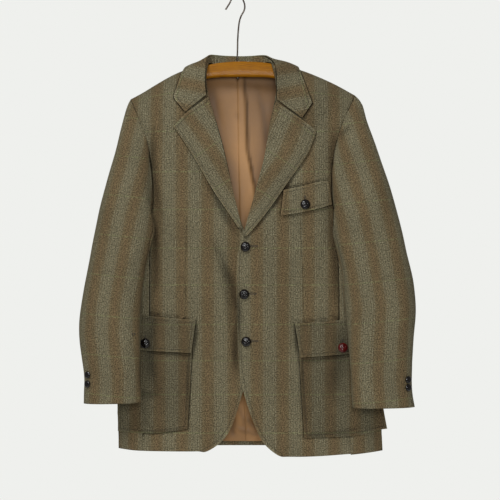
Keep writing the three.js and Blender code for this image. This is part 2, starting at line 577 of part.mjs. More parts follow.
function sleeve(rows, arm, names) {
  const count = arm.length;
  const nodes = [];
  for (let k = HIND_SEAM_NODE; k <= count + HIND_SEAM_NODE; k += 1) nodes.push(k);
  const armAt = (k) => arm[(k + count) % count];
  const turnOf = (k) => {
    const { z, face } = armAt(k);
    const c = clamp((z - arm[UNDERARM_NODE].z) / (arm[0].z - arm[UNDERARM_NODE].z)) * 2 - 1;
    const a = Math.acos(c);
    return k < 0 ? -a : (face < 0 || k > UNDERARM_NODE ? 2 * Math.PI - a : a);
  };
  const fore = FORE_SEAM_NODE - HIND_SEAM_NODE;
  const total = nodes.length - 1;
  const rad = Math.PI / 180;
  const cuffTurn = (n) => (n <= fore
    ? mix(CUFF_TURN.hind, CUFF_TURN.fore, n / fore)
    : mix(CUFF_TURN.fore, CUFF_TURN.hind + 360, (n - fore) / (total - fore))) * rad;
  const onArm = (k) => {
    const node = armAt(k);
    const side = node.x < 0 ? Math.PI : 0;
    return skin(node.face === 0 ? side : angleAt(node.x, node.z, node.face), node.z);
  };
  const out = Math.sign(arm[0].x);
  const frontLine = arm.slice(0, FRONT_SEAM_NODE + 1).map(({ x, z }) => [z, x]);
  const beside = (p, i) => {
    if (p.z < arm[FRONT_SEAM_NODE].z) return p;
    const line = read(frontLine, p.z) + out * BESIDE_STEP * i;
    p.x = out > 0 ? Math.max(p.x, line) : Math.min(p.x, line);
    return p;
  };
  const ring = (i) => {
    const down = i / (rows.length - 1);
    const join = ease(clamp(i / SLEEVE_JOIN_RINGS));
    return nodes.map((k, n) => {
      const edge = onArm(k);
      if (i === 0) return { outer: edge.outer, inner: edge.inner, fixed: edge.normal };
      const turn = mix(turnOf(k), cuffTurn(n), ease(down) * 0.6 + down * 0.4);
      const oval = ringPoint(rows, i, turn);
      const base = ringPoint(rows, 0, turnOf(k));
      const rider = oval.clone().add(edge.outer).sub(base);
      const p = rider.lerp(oval, join);
      return { outer: beside(clearOf(p, sleeveGap(p.z, out) * clamp(0.35 + i / 4)), i) };
    });
  };
  const grid = rows.map((unused, i) => ring(i));
  const cols = grid[0].length;
  grid.forEach((row, i) => row.forEach((p, j) => {
    if (i === 0) return;
    const up = grid[i - 1][j].outer;
    const down = grid[Math.min(i + 1, grid.length - 1)][j].outer;
    const before = j === 0 ? grid[i][cols - 2].outer : grid[i][j - 1].outer;
    const after = j === cols - 1 ? grid[i][1].outer : grid[i][j + 1].outer;
    const across = new THREE.Vector3().subVectors(after, before);
    const along = new THREE.Vector3().subVectors(up, down);
    const normal = across.cross(along).normalize();
    const centre = new THREE.Vector3();
    row.forEach((q) => centre.addScaledVector(q.outer, 1 / cols));
    if (normal.dot(p.outer.clone().sub(centre)) < 0) normal.negate();
    p.normal = normal;
  }));
  grid.forEach((row, i) => row.forEach((p, j) => {
    if (i === 0) return;
    if (j === cols - 1) p.normal.copy(row[0].normal);
    p.inner = p.outer.clone().addScaledVector(p.normal, -CLOTH);
  }));
  const copy = (from, to) => grid.map((row) => row.slice(from, to + 1)
    .map((p) => ({ outer: p.outer.clone(), inner: p.inner.clone() })));
  addSheet(names.top, trim(copy(0, fore), ['first', 'last', 'bottom']), TWEED);
  addSheet(names.under, trim(copy(fore, cols - 1), ['first', 'last', 'bottom']), TWEED);
  return grid;
}

const sleeveRight = sleeve(SLEEVE_RIGHT, ARMHOLE_RIGHT, {
  top: 'sleeve_right_top', under: 'sleeve_right_under',
});
const sleeveLeft = sleeve(SLEEVE_LEFT, ARMHOLE_LEFT, {
  top: 'sleeve_left_top', under: 'sleeve_left_under',
});

// ---- collar ----
const onBody = (x, z, face, lift) => {
  const { outer, normal } = skin(angleAt(x, z, face), z, lift);
  return { outer, normal };
};

const collarGrid = COLLAR.map((s, i) => {
  const roll = new THREE.Vector3(s.rx, s.ry, s.rz);
  const outerEdge = s.face === 0
    ? new THREE.Vector3(s.ex, 0, read(RIDGE, s.ex) + 3)
    : onBody(s.ex, s.ez, s.face, 3.2).outer;
  const end = i === 0 || i === COLLAR.length - 1;
  const notch = i === 0 ? NOTCH.right : NOTCH.left;
  return COLLAR_ACROSS.map((v) => {
    let p;
    if (end && v <= NOTCH.at) {
      p = roll.clone().lerp(onBody(notch.x, notch.z, 1, 3.4).outer, v / NOTCH.at);
    } else if (end) {
      const corner = onBody(notch.x, notch.z, 1, 3.4).outer;
      p = corner.lerp(outerEdge, (v - NOTCH.at) / (1 - NOTCH.at));
    } else {
      p = roll.clone().lerp(outerEdge, v);
    }
    return clearOf(p, v === 0 ? 1.2 : 3.4 + 2.5 * Math.sin(Math.PI * v));
  });
});

// Inner points of a free grid, along each point's own direction away from the body.
function thicken(points, thick, sign) {
  const rows = points.length;
  const cols = points[0].length;
  return points.map((row, i) => row.map((outer, j) => {
    const a = points[Math.max(i - 1, 0)][j];
    const b = points[Math.min(i + 1, rows - 1)][j];
    const c = points[i][Math.max(j - 1, 0)];
    const d = points[i][Math.min(j + 1, cols - 1)];
    const normal = new THREE.Vector3().subVectors(b, a)
      .cross(new THREE.Vector3().subVectors(d, c)).normalize().multiplyScalar(sign);
    return { outer: outer.clone(), inner: outer.clone().addScaledVector(normal, -thick) };
  }));
}
addSheet('collar', thicken(collarGrid, CLOTH, -1), TWEED);

const standGrid = COLLAR.slice(2, -2).map((s) => {
  const roll = new THREE.Vector3(s.rx, s.ry, s.rz);
  const inward = new THREE.Vector3(NECK.middle - s.rx, -s.ry * 0.6, 0).normalize();
  const top = roll.clone().addScaledVector(inward, 3.4).add(new THREE.Vector3(0, 0, -2.6));
  const drop = 12 + 20 * ease(clamp((s.ry + 40) / 70));
  const foot = top.clone().add(new THREE.Vector3(0, 0, -drop)).addScaledVector(inward, 1.5);
  if (s.ry > -20) foot.z = Math.max(foot.z, neckTop(foot.x) + 1);
  if (Math.abs(s.ry) < 15) foot.z = Math.max(foot.z, ridgeTop(foot.x) - 2.5);
  return range(STAND_ROWS).map((v) => top.clone().lerp(foot, v));
});
addSheet('collar_stand', thicken(standGrid, CLOTH, 1), TWEED);

// ---- lapels ----
function lapel(rows, top, extra) {
  const across = [0, 0.2, 0.42, 0.64, 0.84, 1];
  const place = (x, z, u, v) => {
    const rise = Math.sin(Math.PI * v) * Math.min(1, u * 3);
    const lift = mix(LAPEL_LIFT.edge, LAPEL_LIFT.middle, rise);
    return skin(angleAt(x, z, 1), z, lift + (extra ? extra(x, z) : 0));
  };
  const grid = rows.map((r, i) => across.map((v) => (
    place(mix(r.rx, r.ex, v), mix(r.rz, r.ez, v), i / rows.length, v))));
  const corner = 0.64;
  grid.push(across.map((v) => {
    const [a, b, c] = top;
    const p = v <= corner
      ? { x: mix(a.x, b.x, v / corner), z: mix(a.z, b.z, v / corner) }
      : { x: mix(b.x, c.x, (v - corner) / (1 - corner)), z: mix(b.z, c.z, (v - corner) / (1 - corner)) };
    return place(p.x, p.z, 1, v);
  }));
  return grid;
}
addSheet('lapel_right', lapel(LAPEL_RIGHT, LAPEL_TOP_RIGHT), TWEED);
addSheet('lapel_left', lapel(LAPEL_LEFT, LAPEL_TOP_LEFT, lapOver), TWEED);

// ---- pockets and flaps ----
function patch(shape, cols, rows, liftAt) {
  const topZ = (x) => read(shape.top, x);
  const lowZ = (x) => read(shape.bottom, x);
  const t0 = shape.top[0][0];
  const t1 = shape.top[shape.top.length - 1][0];
  const b0 = shape.bottom[0][0];
  const b1 = shape.bottom[shape.bottom.length - 1][0];
  return range(rows).map((v) => range(cols).map((u) => {
    const xs = mix(b0, t0, v);
    const xe = mix(b1, t1, v);
    const za = mix(lowZ(xs), topZ(xs), v);
    const ze = mix(lowZ(xe), topZ(xe), v);
    const angle = mix(angleAt(xs, za, 1), angleAt(xe, ze, 1), u);
    let z = mix(za, ze, u);
    for (let k = 0; k < 8; k += 1) {
      const x = surface(angle, z).point.x;
      z = mix(lowZ(x), topZ(x), v);
    }
    return skin(angle, z, liftAt(u, v));
  }));
}
const pocketLift = (corner) => (u, v) => {
  const middle = Math.sqrt(Math.sin(Math.PI * u) * Math.sin(Math.PI * v));
  const flare = corner * clamp((u - 0.6) / 0.4) ** 2 * clamp(1 - v * 1.4) ** 1.5;
  return mix(POCKET_LIFT.edge, POCKET_LIFT.middle, middle) + flare;
};
const flapLift = (table, flare) => (u, v) => {
  const t = 1 - v;
  const near = mix(table.top, table.near, ease(clamp(t / 0.25)));
  return near + (table.hang - table.near) * t + flare * u ** 3 * t;
};
addSheet('pocket_right', patch(POCKET_RIGHT, 9, 9, pocketLift(3)), TWEED);
addSheet('pocket_left', patch(POCKET_LEFT, 9, 9, pocketLift(POCKET_LIFT.corner)), TWEED);
addSheet('pocket_flap_right', patch(FLAP_RIGHT, 9, 6, flapLift(FLAP_LIFT, 0)), TWEED);
addSheet('pocket_flap_left', patch(FLAP_LEFT, 9, 6, flapLift(FLAP_LIFT, 3)), TWEED);
addSheet('chest_flap', patch(CHEST_FLAP, 8, 5, flapLift(CHEST_LIFT, 0)), TWEED);

// ---- buttons ----
function button(name, seat, normal, radius, look) {
  const k = radius / BUTTON_RADIUS;
  const profile = [
    [0, 0.3], [3.4, 0.3], [3.4, 2.2], [8.4, 2.8], [10.2, 4.6], [9.7, 6.4], [7.6, 7.9], [4.2, 8.8],
    [0, 9.1],
  ].map(([r, h], i) => new THREE.Vector2(r * k, i < 2 ? h : h * k));
  const geometry = new THREE.LatheGeometry(profile, 18);
  const turn = new THREE.Quaternion().setFromUnitVectors(new THREE.Vector3(0, 1, 0), normal);
  geometry.applyQuaternion(turn);
  geometry.translate(seat.x, seat.y, seat.z);
  addMesh(name, geometry, look);
}

// The place on a flap's face where its button sits.
function onPatch(grid, x, z) {
  let best = null;
  let least = Infinity;
  for (let i = 0; i < grid.length - 1; i += 1) {
    for (let j = 0; j < grid[0].length - 1; j += 1) {
      const corners = [grid[i][j], grid[i][j + 1], grid[i + 1][j + 1], grid[i + 1][j]];
      const middle = new THREE.Vector3();
      corners.forEach((p) => middle.addScaledVector(p.outer, 0.25));
      const away = Math.hypot(middle.x - x, middle.z - z);
      if (away < least) {
        least = away;
        const a = new THREE.Vector3().subVectors(corners[2].outer, corners[0].outer);
        const b = new THREE.Vector3().subVectors(corners[3].outer, corners[1].outer);
        const normal = a.cross(b).normalize();
        if (normal.y > 0) normal.negate();
        const y = middle.y - ((x - middle.x) * normal.x + (z - middle.z) * normal.z) / normal.y;
        best = { seat: new THREE.Vector3(x, y, z), normal };
      }
    }
  }
  return best;
}

FRONT_BUTTONS.forEach(({ x, z }, i) => {
  const { outer, normal } = skin(angleAt(x, z, 1), z, lapOver(x, z) + 0.25);
  button(`front_button_${i + 1}`, outer, normal, BUTTON_RADIUS, LEATHER);
});
const flapGrid = (shape, cols, rows, lift) => patch(shape, cols, rows, lift);
const seats = [
  ['chest_button', flapGrid(CHEST_FLAP, 8, 5, flapLift(CHEST_LIFT, 0)), CHEST_BUTTON, LEATHER],
  ['pocket_button_right', flapGrid(FLAP_RIGHT, 9, 6, flapLift(FLAP_LIFT, 0)),
    POCKET_BUTTON_RIGHT, LEATHER],
  ['pocket_button_left', flapGrid(FLAP_LEFT, 9, 6, flapLift(FLAP_LIFT, 3)),
    POCKET_BUTTON_LEFT, OXBLOOD],
];
seats.forEach(([name, grid, at, look]) => {
  const { seat, normal } = onPatch(grid, at.x, at.z);
  button(name, seat.addScaledVector(normal, 0.2), normal, BUTTON_RADIUS, look);
});

// A cuff button on the sleeve's face at a height and a turn from the outer edge.
function cuffButtons(rows, heights, name) {
  const turn = (CUFF_BUTTON_ANGLE * Math.PI) / 180;
  const line = rows.map((unused, i) => ringPoint(rows, i, turn));
  const beside = rows.map((unused, i) => ringPoint(rows, i, turn + 0.1));
  heights.forEach((z, n) => {
    let k = line.length - 2;
    while (line[k].z < z) k -= 1;
    const t = (z - line[k].z) / (line[k + 1].z - line[k].z);
    const seat = line[k].clone().lerp(line[k + 1], t);
    const next = beside[k].clone().lerp(beside[k + 1], t);
    const normal = new THREE.Vector3().subVectors(next, seat)
      .cross(new THREE.Vector3().subVectors(line[k], line[k + 1])).normalize();
    if (normal.y > 0) normal.negate();
    button(`${name}_${n + 1}`, seat.addScaledVector(normal, 0.3), normal, CUFF_RADIUS, LEATHER);
  });
}
cuffButtons(SLEEVE_RIGHT, CUFF_BUTTONS_RIGHT, 'cuff_button_right');
cuffButtons(SLEEVE_LEFT, CUFF_BUTTONS_LEFT, 'cuff_button_left');

// ---- hanger ----
// A closed solid from rings of points, capped at both ends.
function loft(rings) {
  const n = rings[0].length;
  const at = [];
  const index = [];
  rings.forEach((ring) => ring.forEach((p) => at.push(p.x, p.y, p.z)));
  for (let i = 0; i < rings.length - 1; i += 1) {
    for (let j = 0; j < n; j += 1) {
      const a = i * n + j;
      const b = i * n + ((j + 1) % n);
      index.push(a, b, b + n, a, b + n, a + n);
    }
  }
  [0, rings.length - 1].forEach((k) => {
    const middle = new THREE.Vector3();
    rings[k].forEach((p) => middle.addScaledVector(p, 1 / n));
    const hub = at.length / 3;
    at.push(middle.x, middle.y, middle.z);
    for (let j = 0; j < n; j += 1) {
      const a = k * n + j;
      const b = k * n + ((j + 1) % n);
      if (k === 0) index.push(hub, b, a);
      else index.push(hub, a, b);
    }
  });
  const geometry = new THREE.BufferGeometry();
  geometry.setAttribute('position', new THREE.Float32BufferAttribute(at, 3));
  geometry.setIndex(index);
  geometry.computeVertexNormals();
  return geometry;
}

const barSection = [
  [0.55, 1], [-0.55, 1], [-0.8, 0.86], [-1, -0.2], [-0.9, -0.82], [-0.5, -1], [0.5, -1],
  [0.9, -0.82], [1, -0.2], [0.8, 0.86],
];
const barRings = range(29).map((u) => {
  const x = mix(BAR.left, BAR.right, u);
  const middle = (BAR.left + BAR.right) / 2;
  const out = Math.abs(x - middle) / ((BAR.right - BAR.left) / 2);
  const round = Math.sqrt(Math.max(0.02, 1 - clamp((out - 0.94) / 0.065) ** 2));
  const half = mix(BAR.half, BAR.endHalf, ease(out)) * round;
  const deep = mix(BAR.depth, BAR.endDepth, ease(out)) * round;
  const dip = 2 * BAR.half * 0.5 * (1 - round);
  const top = read(RIDGE, x) - CLOTH - BAR.gap - 1.8 - dip;
  return barSection.map(([y, z]) => new THREE.Vector3(x, y * deep, top - half + z * half));
});
addMesh('hanger_bar', loft(barRings), WOOD);

const wirePath = new THREE.CatmullRomCurve3(WIRE.map(([x, z]) => new THREE.Vector3(x, 0, z)));
const wireSection = new THREE.Shape();
wireSection.absarc(0, 0, WIRE_RADIUS, 0, Math.PI * 2, false);
const wire = new THREE.ExtrudeGeometry(wireSection, {
  steps: 56, curveSegments: 5, bevelEnabled: false, extrudePath: wirePath,
});
addMesh('hanger_hook', wire, STEEL);

const nut = new THREE.LatheGeometry([
  [0, 0], [NUT.radius, 0], [NUT.radius, -NUT.height * 0.7], [NUT.radius * 0.6, -NUT.height],
  [0, -NUT.height],
].reverse().map(([r, h]) => new THREE.Vector2(r, h)), 14);
nut.rotateX(Math.PI / 2);
nut.translate(NUT.x, 0, NUT.z);
addMesh('hanger_nut', nut, STEEL);

export default group;
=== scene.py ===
import json
import math

import bmesh
import bpy
import numpy as np
from mathutils import Matrix, Vector
from mathutils.bvhtree import BVHTree
from mathutils.kdtree import KDTree

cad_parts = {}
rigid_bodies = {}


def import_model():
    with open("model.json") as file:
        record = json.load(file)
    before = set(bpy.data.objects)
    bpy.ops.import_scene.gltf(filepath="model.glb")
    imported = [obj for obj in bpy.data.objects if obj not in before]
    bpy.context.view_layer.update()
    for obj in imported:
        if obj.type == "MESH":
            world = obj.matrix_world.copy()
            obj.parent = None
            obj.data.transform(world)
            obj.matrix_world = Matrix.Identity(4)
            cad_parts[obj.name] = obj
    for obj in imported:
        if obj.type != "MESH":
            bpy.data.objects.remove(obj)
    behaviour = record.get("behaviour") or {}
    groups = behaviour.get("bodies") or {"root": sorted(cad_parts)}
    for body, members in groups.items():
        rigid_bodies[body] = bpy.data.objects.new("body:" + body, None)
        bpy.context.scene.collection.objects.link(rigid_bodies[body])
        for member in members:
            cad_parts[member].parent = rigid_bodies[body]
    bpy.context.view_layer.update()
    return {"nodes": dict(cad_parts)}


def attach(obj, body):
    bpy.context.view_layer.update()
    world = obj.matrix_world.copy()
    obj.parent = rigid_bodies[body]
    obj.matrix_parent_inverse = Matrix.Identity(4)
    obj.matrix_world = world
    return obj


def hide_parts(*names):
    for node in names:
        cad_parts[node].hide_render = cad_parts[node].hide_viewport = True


for old in list(bpy.data.objects):
    bpy.data.objects.remove(old)
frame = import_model()
MM = 0.001

# ---- form of the body and sleeves, in millimetres ----
BODY = np.array([
    # height, viewer's left side, right side, front depth, back depth
    (-970, -247, 307, 42, 38), (-860, -251, 304, 42, 36), (-760, -250, 292, 43, 34),
    (-650, -242, 274, 46, 34), (-560, -228, 260, 52, 38), (-470, -212, 246, 58, 42),
    (-330, -222, 252, 56, 42), (-226, -232, 262, 50, 40), (-140, -232, 262, 44, 36),
], float)
SHOULDER = np.array([
    (-250, -240), (-224, -225), (-199, -211.5), (-172, -195), (-135, -174), (-103, -160.5),
    (-66, -150), (-30, -143.5), (10, -141.5), (50, -143), (85, -148.5), (125, -159.5),
    (157, -171), (206, -192.5), (249, -216), (275, -231),
])
RIDGE_DROP = 70
ROUND = 2.2
SLEEVE_OUT = {
    # outer edge: across, height, middle depth, half depth
    -1: np.array([(-224, -225, 0, 34), (-240, -278, -8, 50), (-259, -363, -29, 52),
                  (-287, -476, -41, 50), (-300, -545, -50, 47), (-318, -655, -64, 42),
                  (-321, -709, -69, 40), (-311, -795, -74, 35), (-312, -854, -76, 32)], float),
    1: np.array([(250, -216, 0, 34), (272, -266, -8, 51), (299, -350, -31, 53),
                 (334, -466, -41, 50), (351, -545, -50, 47), (368, -656, -64, 43),
                 (364, -709, -69, 41), (360, -798, -74, 36), (366, -861, -76, 33)], float),
}
SLEEVE_HALF = 61

# ---- the cloth's pattern: metres, and millimetres where it is laid by height ----
BAND = 0.0535  # one green and one brown stripe
LINE = 0.0785  # between the window lines
BODY_LINES = [-999, -920, -840, -770, -695, -613, -537, -457, -379, -295, -213, -134]
PLAIN_STRETCH = 1.04  # cloth across a piece that lies flat, for its width
SHOULDER_EASE = 30  # mm of cloth over the shoulder's rounding
SLEEVE_LINES = {-1: -837, 1: -847}
SLEEVE_LINE_STEP = 81
TWILL = 0.0019  # between ribs of the tweed
SATIN_TWILL = 0.0011
STITCH_IN = 6.0  # stitched line in from an edge
TOP_STITCH = 5.0


def read_points(mesh):
    co = np.empty(len(mesh.vertices) * 3)
    mesh.vertices.foreach_get("co", co)
    return co.reshape(-1, 3)


def read_off(line, at):
    """The second column of a line at values of its first, which rises."""
    line = np.asarray(line, float)
    return np.interp(at, line[:, 0], line[:, 1])


def table(rows, key, value, at):
    """One column of a table at values of another, in any order."""
    order = np.argsort(rows[:, key])
    return np.interp(at, rows[order, key], rows[order, value])


def arc_table(ratio):
    """Angles round a quarter of a section, and the way walked to each, for half width 1."""
    angle = np.linspace(0, math.pi / 2, 200)
    x = np.sin(angle) ** (2 / ROUND)
    y = ratio * np.cos(angle) ** (2 / ROUND)
    steps = np.hypot(np.diff(x), np.diff(y))
    return angle, np.concatenate([[0], np.cumsum(steps)])


BODY_ARC = arc_table(0.19)
SLEEVE_ARC = arc_table(0.8)


def unit(rows):
    return rows / np.maximum(np.linalg.norm(rows, axis=1, keepdims=True), 1e-9)


def body_frame(co):
    """For points in mm: the body's middle, half width and depth, and the shoulder's rounding."""
    x, y, z = co.T
    left, right = table(BODY, 0, 1, z), table(BODY, 0, 2, z)
    middle, half = (left + right) / 2, (right - left) / 2
    depth = np.where(y > 0, table(BODY, 0, 4, z), table(BODY, 0, 3, z))
    below = read_off(SHOULDER, x) - z
    t = np.clip(1 - below / RIDGE_DROP, 0, 0.97)
    cap = np.sqrt(1 - t * t)
    return middle, half, depth, t, cap


def body_out(co):
    """Unit vectors pointing away from the body at points in mm."""
    x, y, z = co.T
    middle, half, depth, t, cap = body_frame(co)
    c = (x - middle) / half
    e = y / (depth * cap)
    nx = np.sign(c) * np.abs(c) ** (ROUND - 1) / half
    ny = np.sign(e) * np.abs(e) ** (ROUND - 1) / (depth * cap)
    nz = t * np.abs(e) ** ROUND / (cap * cap * RIDGE_DROP)
    return unit(np.stack([nx, ny, nz], 1))


def body_coords(co, phase=0.0, through=False, plain=False):
    """Woven coordinates in metres: round the body and up it. A plain piece lies flat on it."""
    x, y, z = co.T
    middle, half, depth, t, cap = body_frame(co)
    c = np.abs(x - middle) / half
    e = np.abs(y) / (depth * cap)
    facing = np.maximum(1 - np.minimum(c, 1) ** ROUND, 0) ** (1 / ROUND)
    share = np.clip((c - 0.86) / 0.12, 0, 1)
    e = facing * (1 - share) + e * share
    angle = np.arctan2(c ** (ROUND / 2), np.maximum(e, 1e-6) ** (ROUND / 2))
    arc = np.interp(angle, *BODY_ARC)
    if through:
        arc = np.where(y > 0, 2 * BODY_ARC[1][-1] - arc, arc)
    u = middle + np.sign(x - middle) * half * arc
    if plain:
        u = x * PLAIN_STRETCH
    v = np.interp(z, BODY_LINES, np.arange(len(BODY_LINES)) * LINE / MM)
    v += SHOULDER_EASE * t ** 3
    return np.stack([u - phase, v], 1) * MM


def sleeve_frame(co, side):
    """For points in mm: the sleeve's middle across, and its middle and half depth."""
    rows = SLEEVE_OUT[side]
    z = co[:, 2]
    centre = table(rows, 1, 0, z) - side * SLEEVE_HALF
    return centre, table(rows, 1, 2, z), table(rows, 1, 3, z)


def sleeve_extents(side):
    """Heights, and the sleeve's least and greatest place across at each, in mm."""
    word = "right" if side < 0 else "left"
    spans = []
    for part in ("top", "under"):
        mesh = frame["nodes"][f"sleeve_{word}_{part}"].data
        co = read_points(mesh) / MM
        spans += [co[list(e.vertices)] for e in mesh.edges]
    a, b = np.array(spans).transpose(1, 0, 2)
    heights = np.arange(-835, -240, 15.0)
    low, high = [], []
    for z in heights:
        cross = (a[:, 2] - z) * (b[:, 2] - z) < 0
        t = (z - a[cross, 2]) / (b[cross, 2] - a[cross, 2])
        x = a[cross, 0] * (1 - t) + b[cross, 0] * t
        low.append(x.min())
        high.append(x.max())
    soft = lambda row: np.convolve(np.pad(row, 2, mode="edge"), [0.1, 0.2, 0.4, 0.2, 0.1], "valid")
    return heights, soft(low), soft(high)


EXTENTS = {side: sleeve_extents(side) for side in (-1, 1)}


def sleeve_coords(co, side, phase=0.0):
    """Woven coordinates in metres: round the sleeve from its front line, and up it."""
    x, y, z = co.T
    centre, mid, deep = sleeve_frame(co, side)
    heights, low, high = EXTENTS[side]
    least, most = np.interp(z, heights, low), np.interp(z, heights, high)
    true_middle, half = (least + most) / 2, (most - least) / 2
    c = (x - true_middle) / half
    e = (mid - y) / deep
    facing = np.sqrt(np.maximum(1 - np.minimum(np.abs(c), 1) ** 2, 0))
    share = np.clip((np.abs(c) - 0.9) / 0.1, 0, 1)
    share = share * share * (3 - 2 * share)
    deepness = facing * (1 - share) + np.abs(e) * share
    angle = np.arctan2(np.abs(c), np.maximum(deepness, 1e-6))
    arc = np.interp(angle, *SLEEVE_ARC)
    arc = np.where(e < 0, 2 * SLEEVE_ARC[1][-1] - arc, arc)
    u = np.sign(c) * half * arc + true_middle - centre
    tilt = -0.1 * side * (x - centre)
    v = (z + tilt - SLEEVE_LINES[side]) * LINE / MM / SLEEVE_LINE_STEP
    return np.stack([u - phase, v], 1) * MM


def sleeve_out(co, side):
    """Unit vectors pointing away from a sleeve at points in mm."""
    centre, mid, deep = sleeve_frame(co, side)
    across, away = (co[:, 0] - centre) / SLEEVE_HALF ** 2, (co[:, 1] - mid) / deep ** 2
    return unit(np.stack([across, away, 0 * away], 1))


# ---- folds, in mm ----
# across and height of one end, then of the other, width, rise
FRONT_FOLDS = [
    (-38, -545, -4, -660, 9, -2.4), (-52, -520, -20, -700, 13, 1.8),
    (-8, -650, 4, -800, 10, -1.6), (-100, -480, -95, -700, 20, 1.4),
    (-150, -330, -128, -480, 18, 1.6), (-176, -440, -150, -540, 12, -1.5),
    (-70, -760, -60, -940, 22, 1.8), (-34, -820, -40, -950, 16, -1.5),
    (48, -560, 42, -760, 18, 1.2), (84, -520, 70, -900, 26, -1.4),
    (110, -500, 96, -680, 14, 1.2), (196, -470, 180, -600, 13, -1.6),
    (172, -330, 160, -440, 18, 1.4), (206, -330, 196, -470, 9, -1.6),
    (-178, -330, -176, -450, 9, -1.6), (60, -780, 52, -950, 20, 1.5),
    (104, -780, 112, -950, 15, -1.4), (26, -560, 24, -620, 8, 0.7),
    (-120, -200, -150, -300, 20, 1.2), (150, -200, 178, -290, 20, 1.2),
    (-176, -430, -184, -690, 13, -4.5), (208, -440, 220, -690, 13, -4.5),
]
BACK_FOLDS = [
    (-150, -240, -120, -430, 24, 2.2), (170, -240, 150, -430, 24, 2.2),
    (-60, -200, -70, -360, 30, 1.6), (90, -200, 96, -360, 30, 1.6),
    (-176, -420, -120, -520, 14, -2.2), (206, -430, 150, -530, 14, -2.2),
    (-90, -520, -110, -900, 20, 1.9), (-20, -600, -30, -940, 22, -1.6),
    (60, -560, 76, -930, 24, 2.0), (130, -540, 160, -900, 20, -1.9),
    (-160, -560, -176, -900, 16, 1.6), (20, -300, 14, -560, 10, -1.1),
    (-120, -180, 150, -196, 9, -1.2), (200, -640, 214, -930, 18, 1.8),
]
# the same, with across measured round the sleeve from its front line
SLEEVE_FOLDS = {
    -1: [
        (8, -262, 2, -345, 6, 1.5), (28, -300, 40, -430, 11, -1.8),
        (-30, -380, -18, -520, 15, 1.6), (44, -500, -10, -560, 9, -1.8),
        (48, -540, 0, -590, 9, 1.4), (-44, -560, -30, -760, 14, 1.4),
        (14, -600, 20, -820, 15, -1.3), (38, -640, 30, -840, 10, 1.3),
        (-20, -700, -30, -850, 12, -1.1), (80, -420, 70, -560, 14, 2.0),
        (110, -480, 90, -640, 14, -1.8), (-110, -420, -120, -620, 18, 1.8),
        (-140, -480, -110, -580, 12, -1.8), (-80, -640, -90, -820, 16, 1.4),
        (120, -660, 110, -830, 16, 1.2),
    ],
    1: [
        (-44, -303, -4, -274, 6, -2.6), (-36, -290, 0, -262, 6, 1.5),
        (-30, -320, -42, -440, 11, -1.8), (26, -380, 16, -530, 15, 1.6),
        (-46, -505, 8, -565, 9, -1.8), (-48, -545, -4, -590, 9, 1.4),
        (44, -560, 30, -760, 14, 1.4), (-12, -610, -18, -830, 15, -1.3),
        (-38, -640, -32, -850, 10, 1.3), (22, -700, 30, -850, 12, -1.1),
        (-80, -420, -70, -560, 14, 2.0), (-112, -480, -92, -640, 14, -1.8),
        (110, -420, 120, -620, 18, 1.8), (140, -480, 112, -580, 12, -1.8),
        (84, -640, 92, -820, 16, 1.4),
    ],
}
LINING_FOLDS = [
    (13, -177, 20, -331, 3.0, 1.4), (18, -185, 26, -331, 2.2, -1.8),
    (20, -331, 39, -440, 3.0, 1.4), (26, -331, 45, -440, 2.4, -1.8),
    (-30, -180, -10, -420, 14, 1.2), (44, -200, 70, -330, 7, -1.2),
    (-52, -190, -20, -360, 9, -1.0), (-6, -252, 8, -266, 5, -0.8), (14, -896, 56, -930, 5, 3.2),
    (-12, -880, -4, -936, 6, -2.6), (62, -880, 30, -934, 5, 2.8), (-6, -922, 60, -930, 4, 2.6),
    (34, -860, 46, -925, 5, -2.4), (4, -870, 12, -915, 5, 2.2), (90, -500, 96, -900, 18, 1.6),
    (-90, -400, -100, -900, 20, 1.6), (-150, -300, -160, -880, 18, -1.6),
    (160, -340, 170, -880, 18, -1.6),
]


def fold_sum(u, z, folds):
    """Height of all folds at places; each wavers a little and fades out at both ends."""
    total = np.zeros(len(u))
    for u0, z0, u1, z1, width, height in folds:
        du, dz = u1 - u0, z1 - z0
        length = math.hypot(du, dz)
        along = ((u - u0) * du + (z - z0) * dz) / length ** 2
        off = ((u - u0) * dz - (z - z0) * du) / length
        off = off + width * 0.35 * np.sin(along * 5.1 + u0)
        fade = np.clip(np.minimum(along + 0.12, 1.12 - along) / 0.4, 0, 1)
        total += height * fade * fade * (3 - 2 * fade) * np.exp(-((off / width) ** 2))
    return total


UNEVEN = 0.16  # mm


def ripple(u, z, size):
    """A faint unevenness that repeats nowhere in step."""
    return size * (np.sin(u / 17 + z / 61) + np.sin(z / 23 - u / 41 + 1.3)
                   + np.sin(u / 9.7 + z / 13.1))


def body_move(co):
    """Where the folds carry points of the body's cloth, in mm."""
    x, y, z = co.T
    lift = ripple(x, z, UNEVEN)
    for folds, mask in ((FRONT_FOLDS, y <= 0), (BACK_FOLDS, y > 0)):
        lift = lift + np.where(mask, fold_sum(x, z, folds), 0)
    side = np.clip(np.abs(y) / 16, 0, 1)
    return body_out(co) * (lift * side)[:, None]


def sleeve_move(co, side):
    """Where the folds carry points of a sleeve's cloth, in mm."""
    u, z = sleeve_coords(co, side)[:, 0] / MM, co[:, 2]
    lift = fold_sum(u, z, SLEEVE_FOLDS[side]) + ripple(u, z, UNEVEN)
    return sleeve_out(co, side) * lift[:, None]


# ---- mesh building ----
def link(name, data):
    obj = bpy.data.objects.new(name, data)
    bpy.context.scene.collection.objects.link(obj)
    return obj


def mesh_of(bm, name):
    mesh = bpy.data.meshes.new(name)
    bm.to_mesh(mesh)
    bm.free()
    return mesh


def stand_for(obj, node, material):
    """Puts a finished piece in the place of its CAD node."""
    obj.data.materials.clear()
    obj.data.materials.append(material)
    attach(obj, "root")
    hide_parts(node)


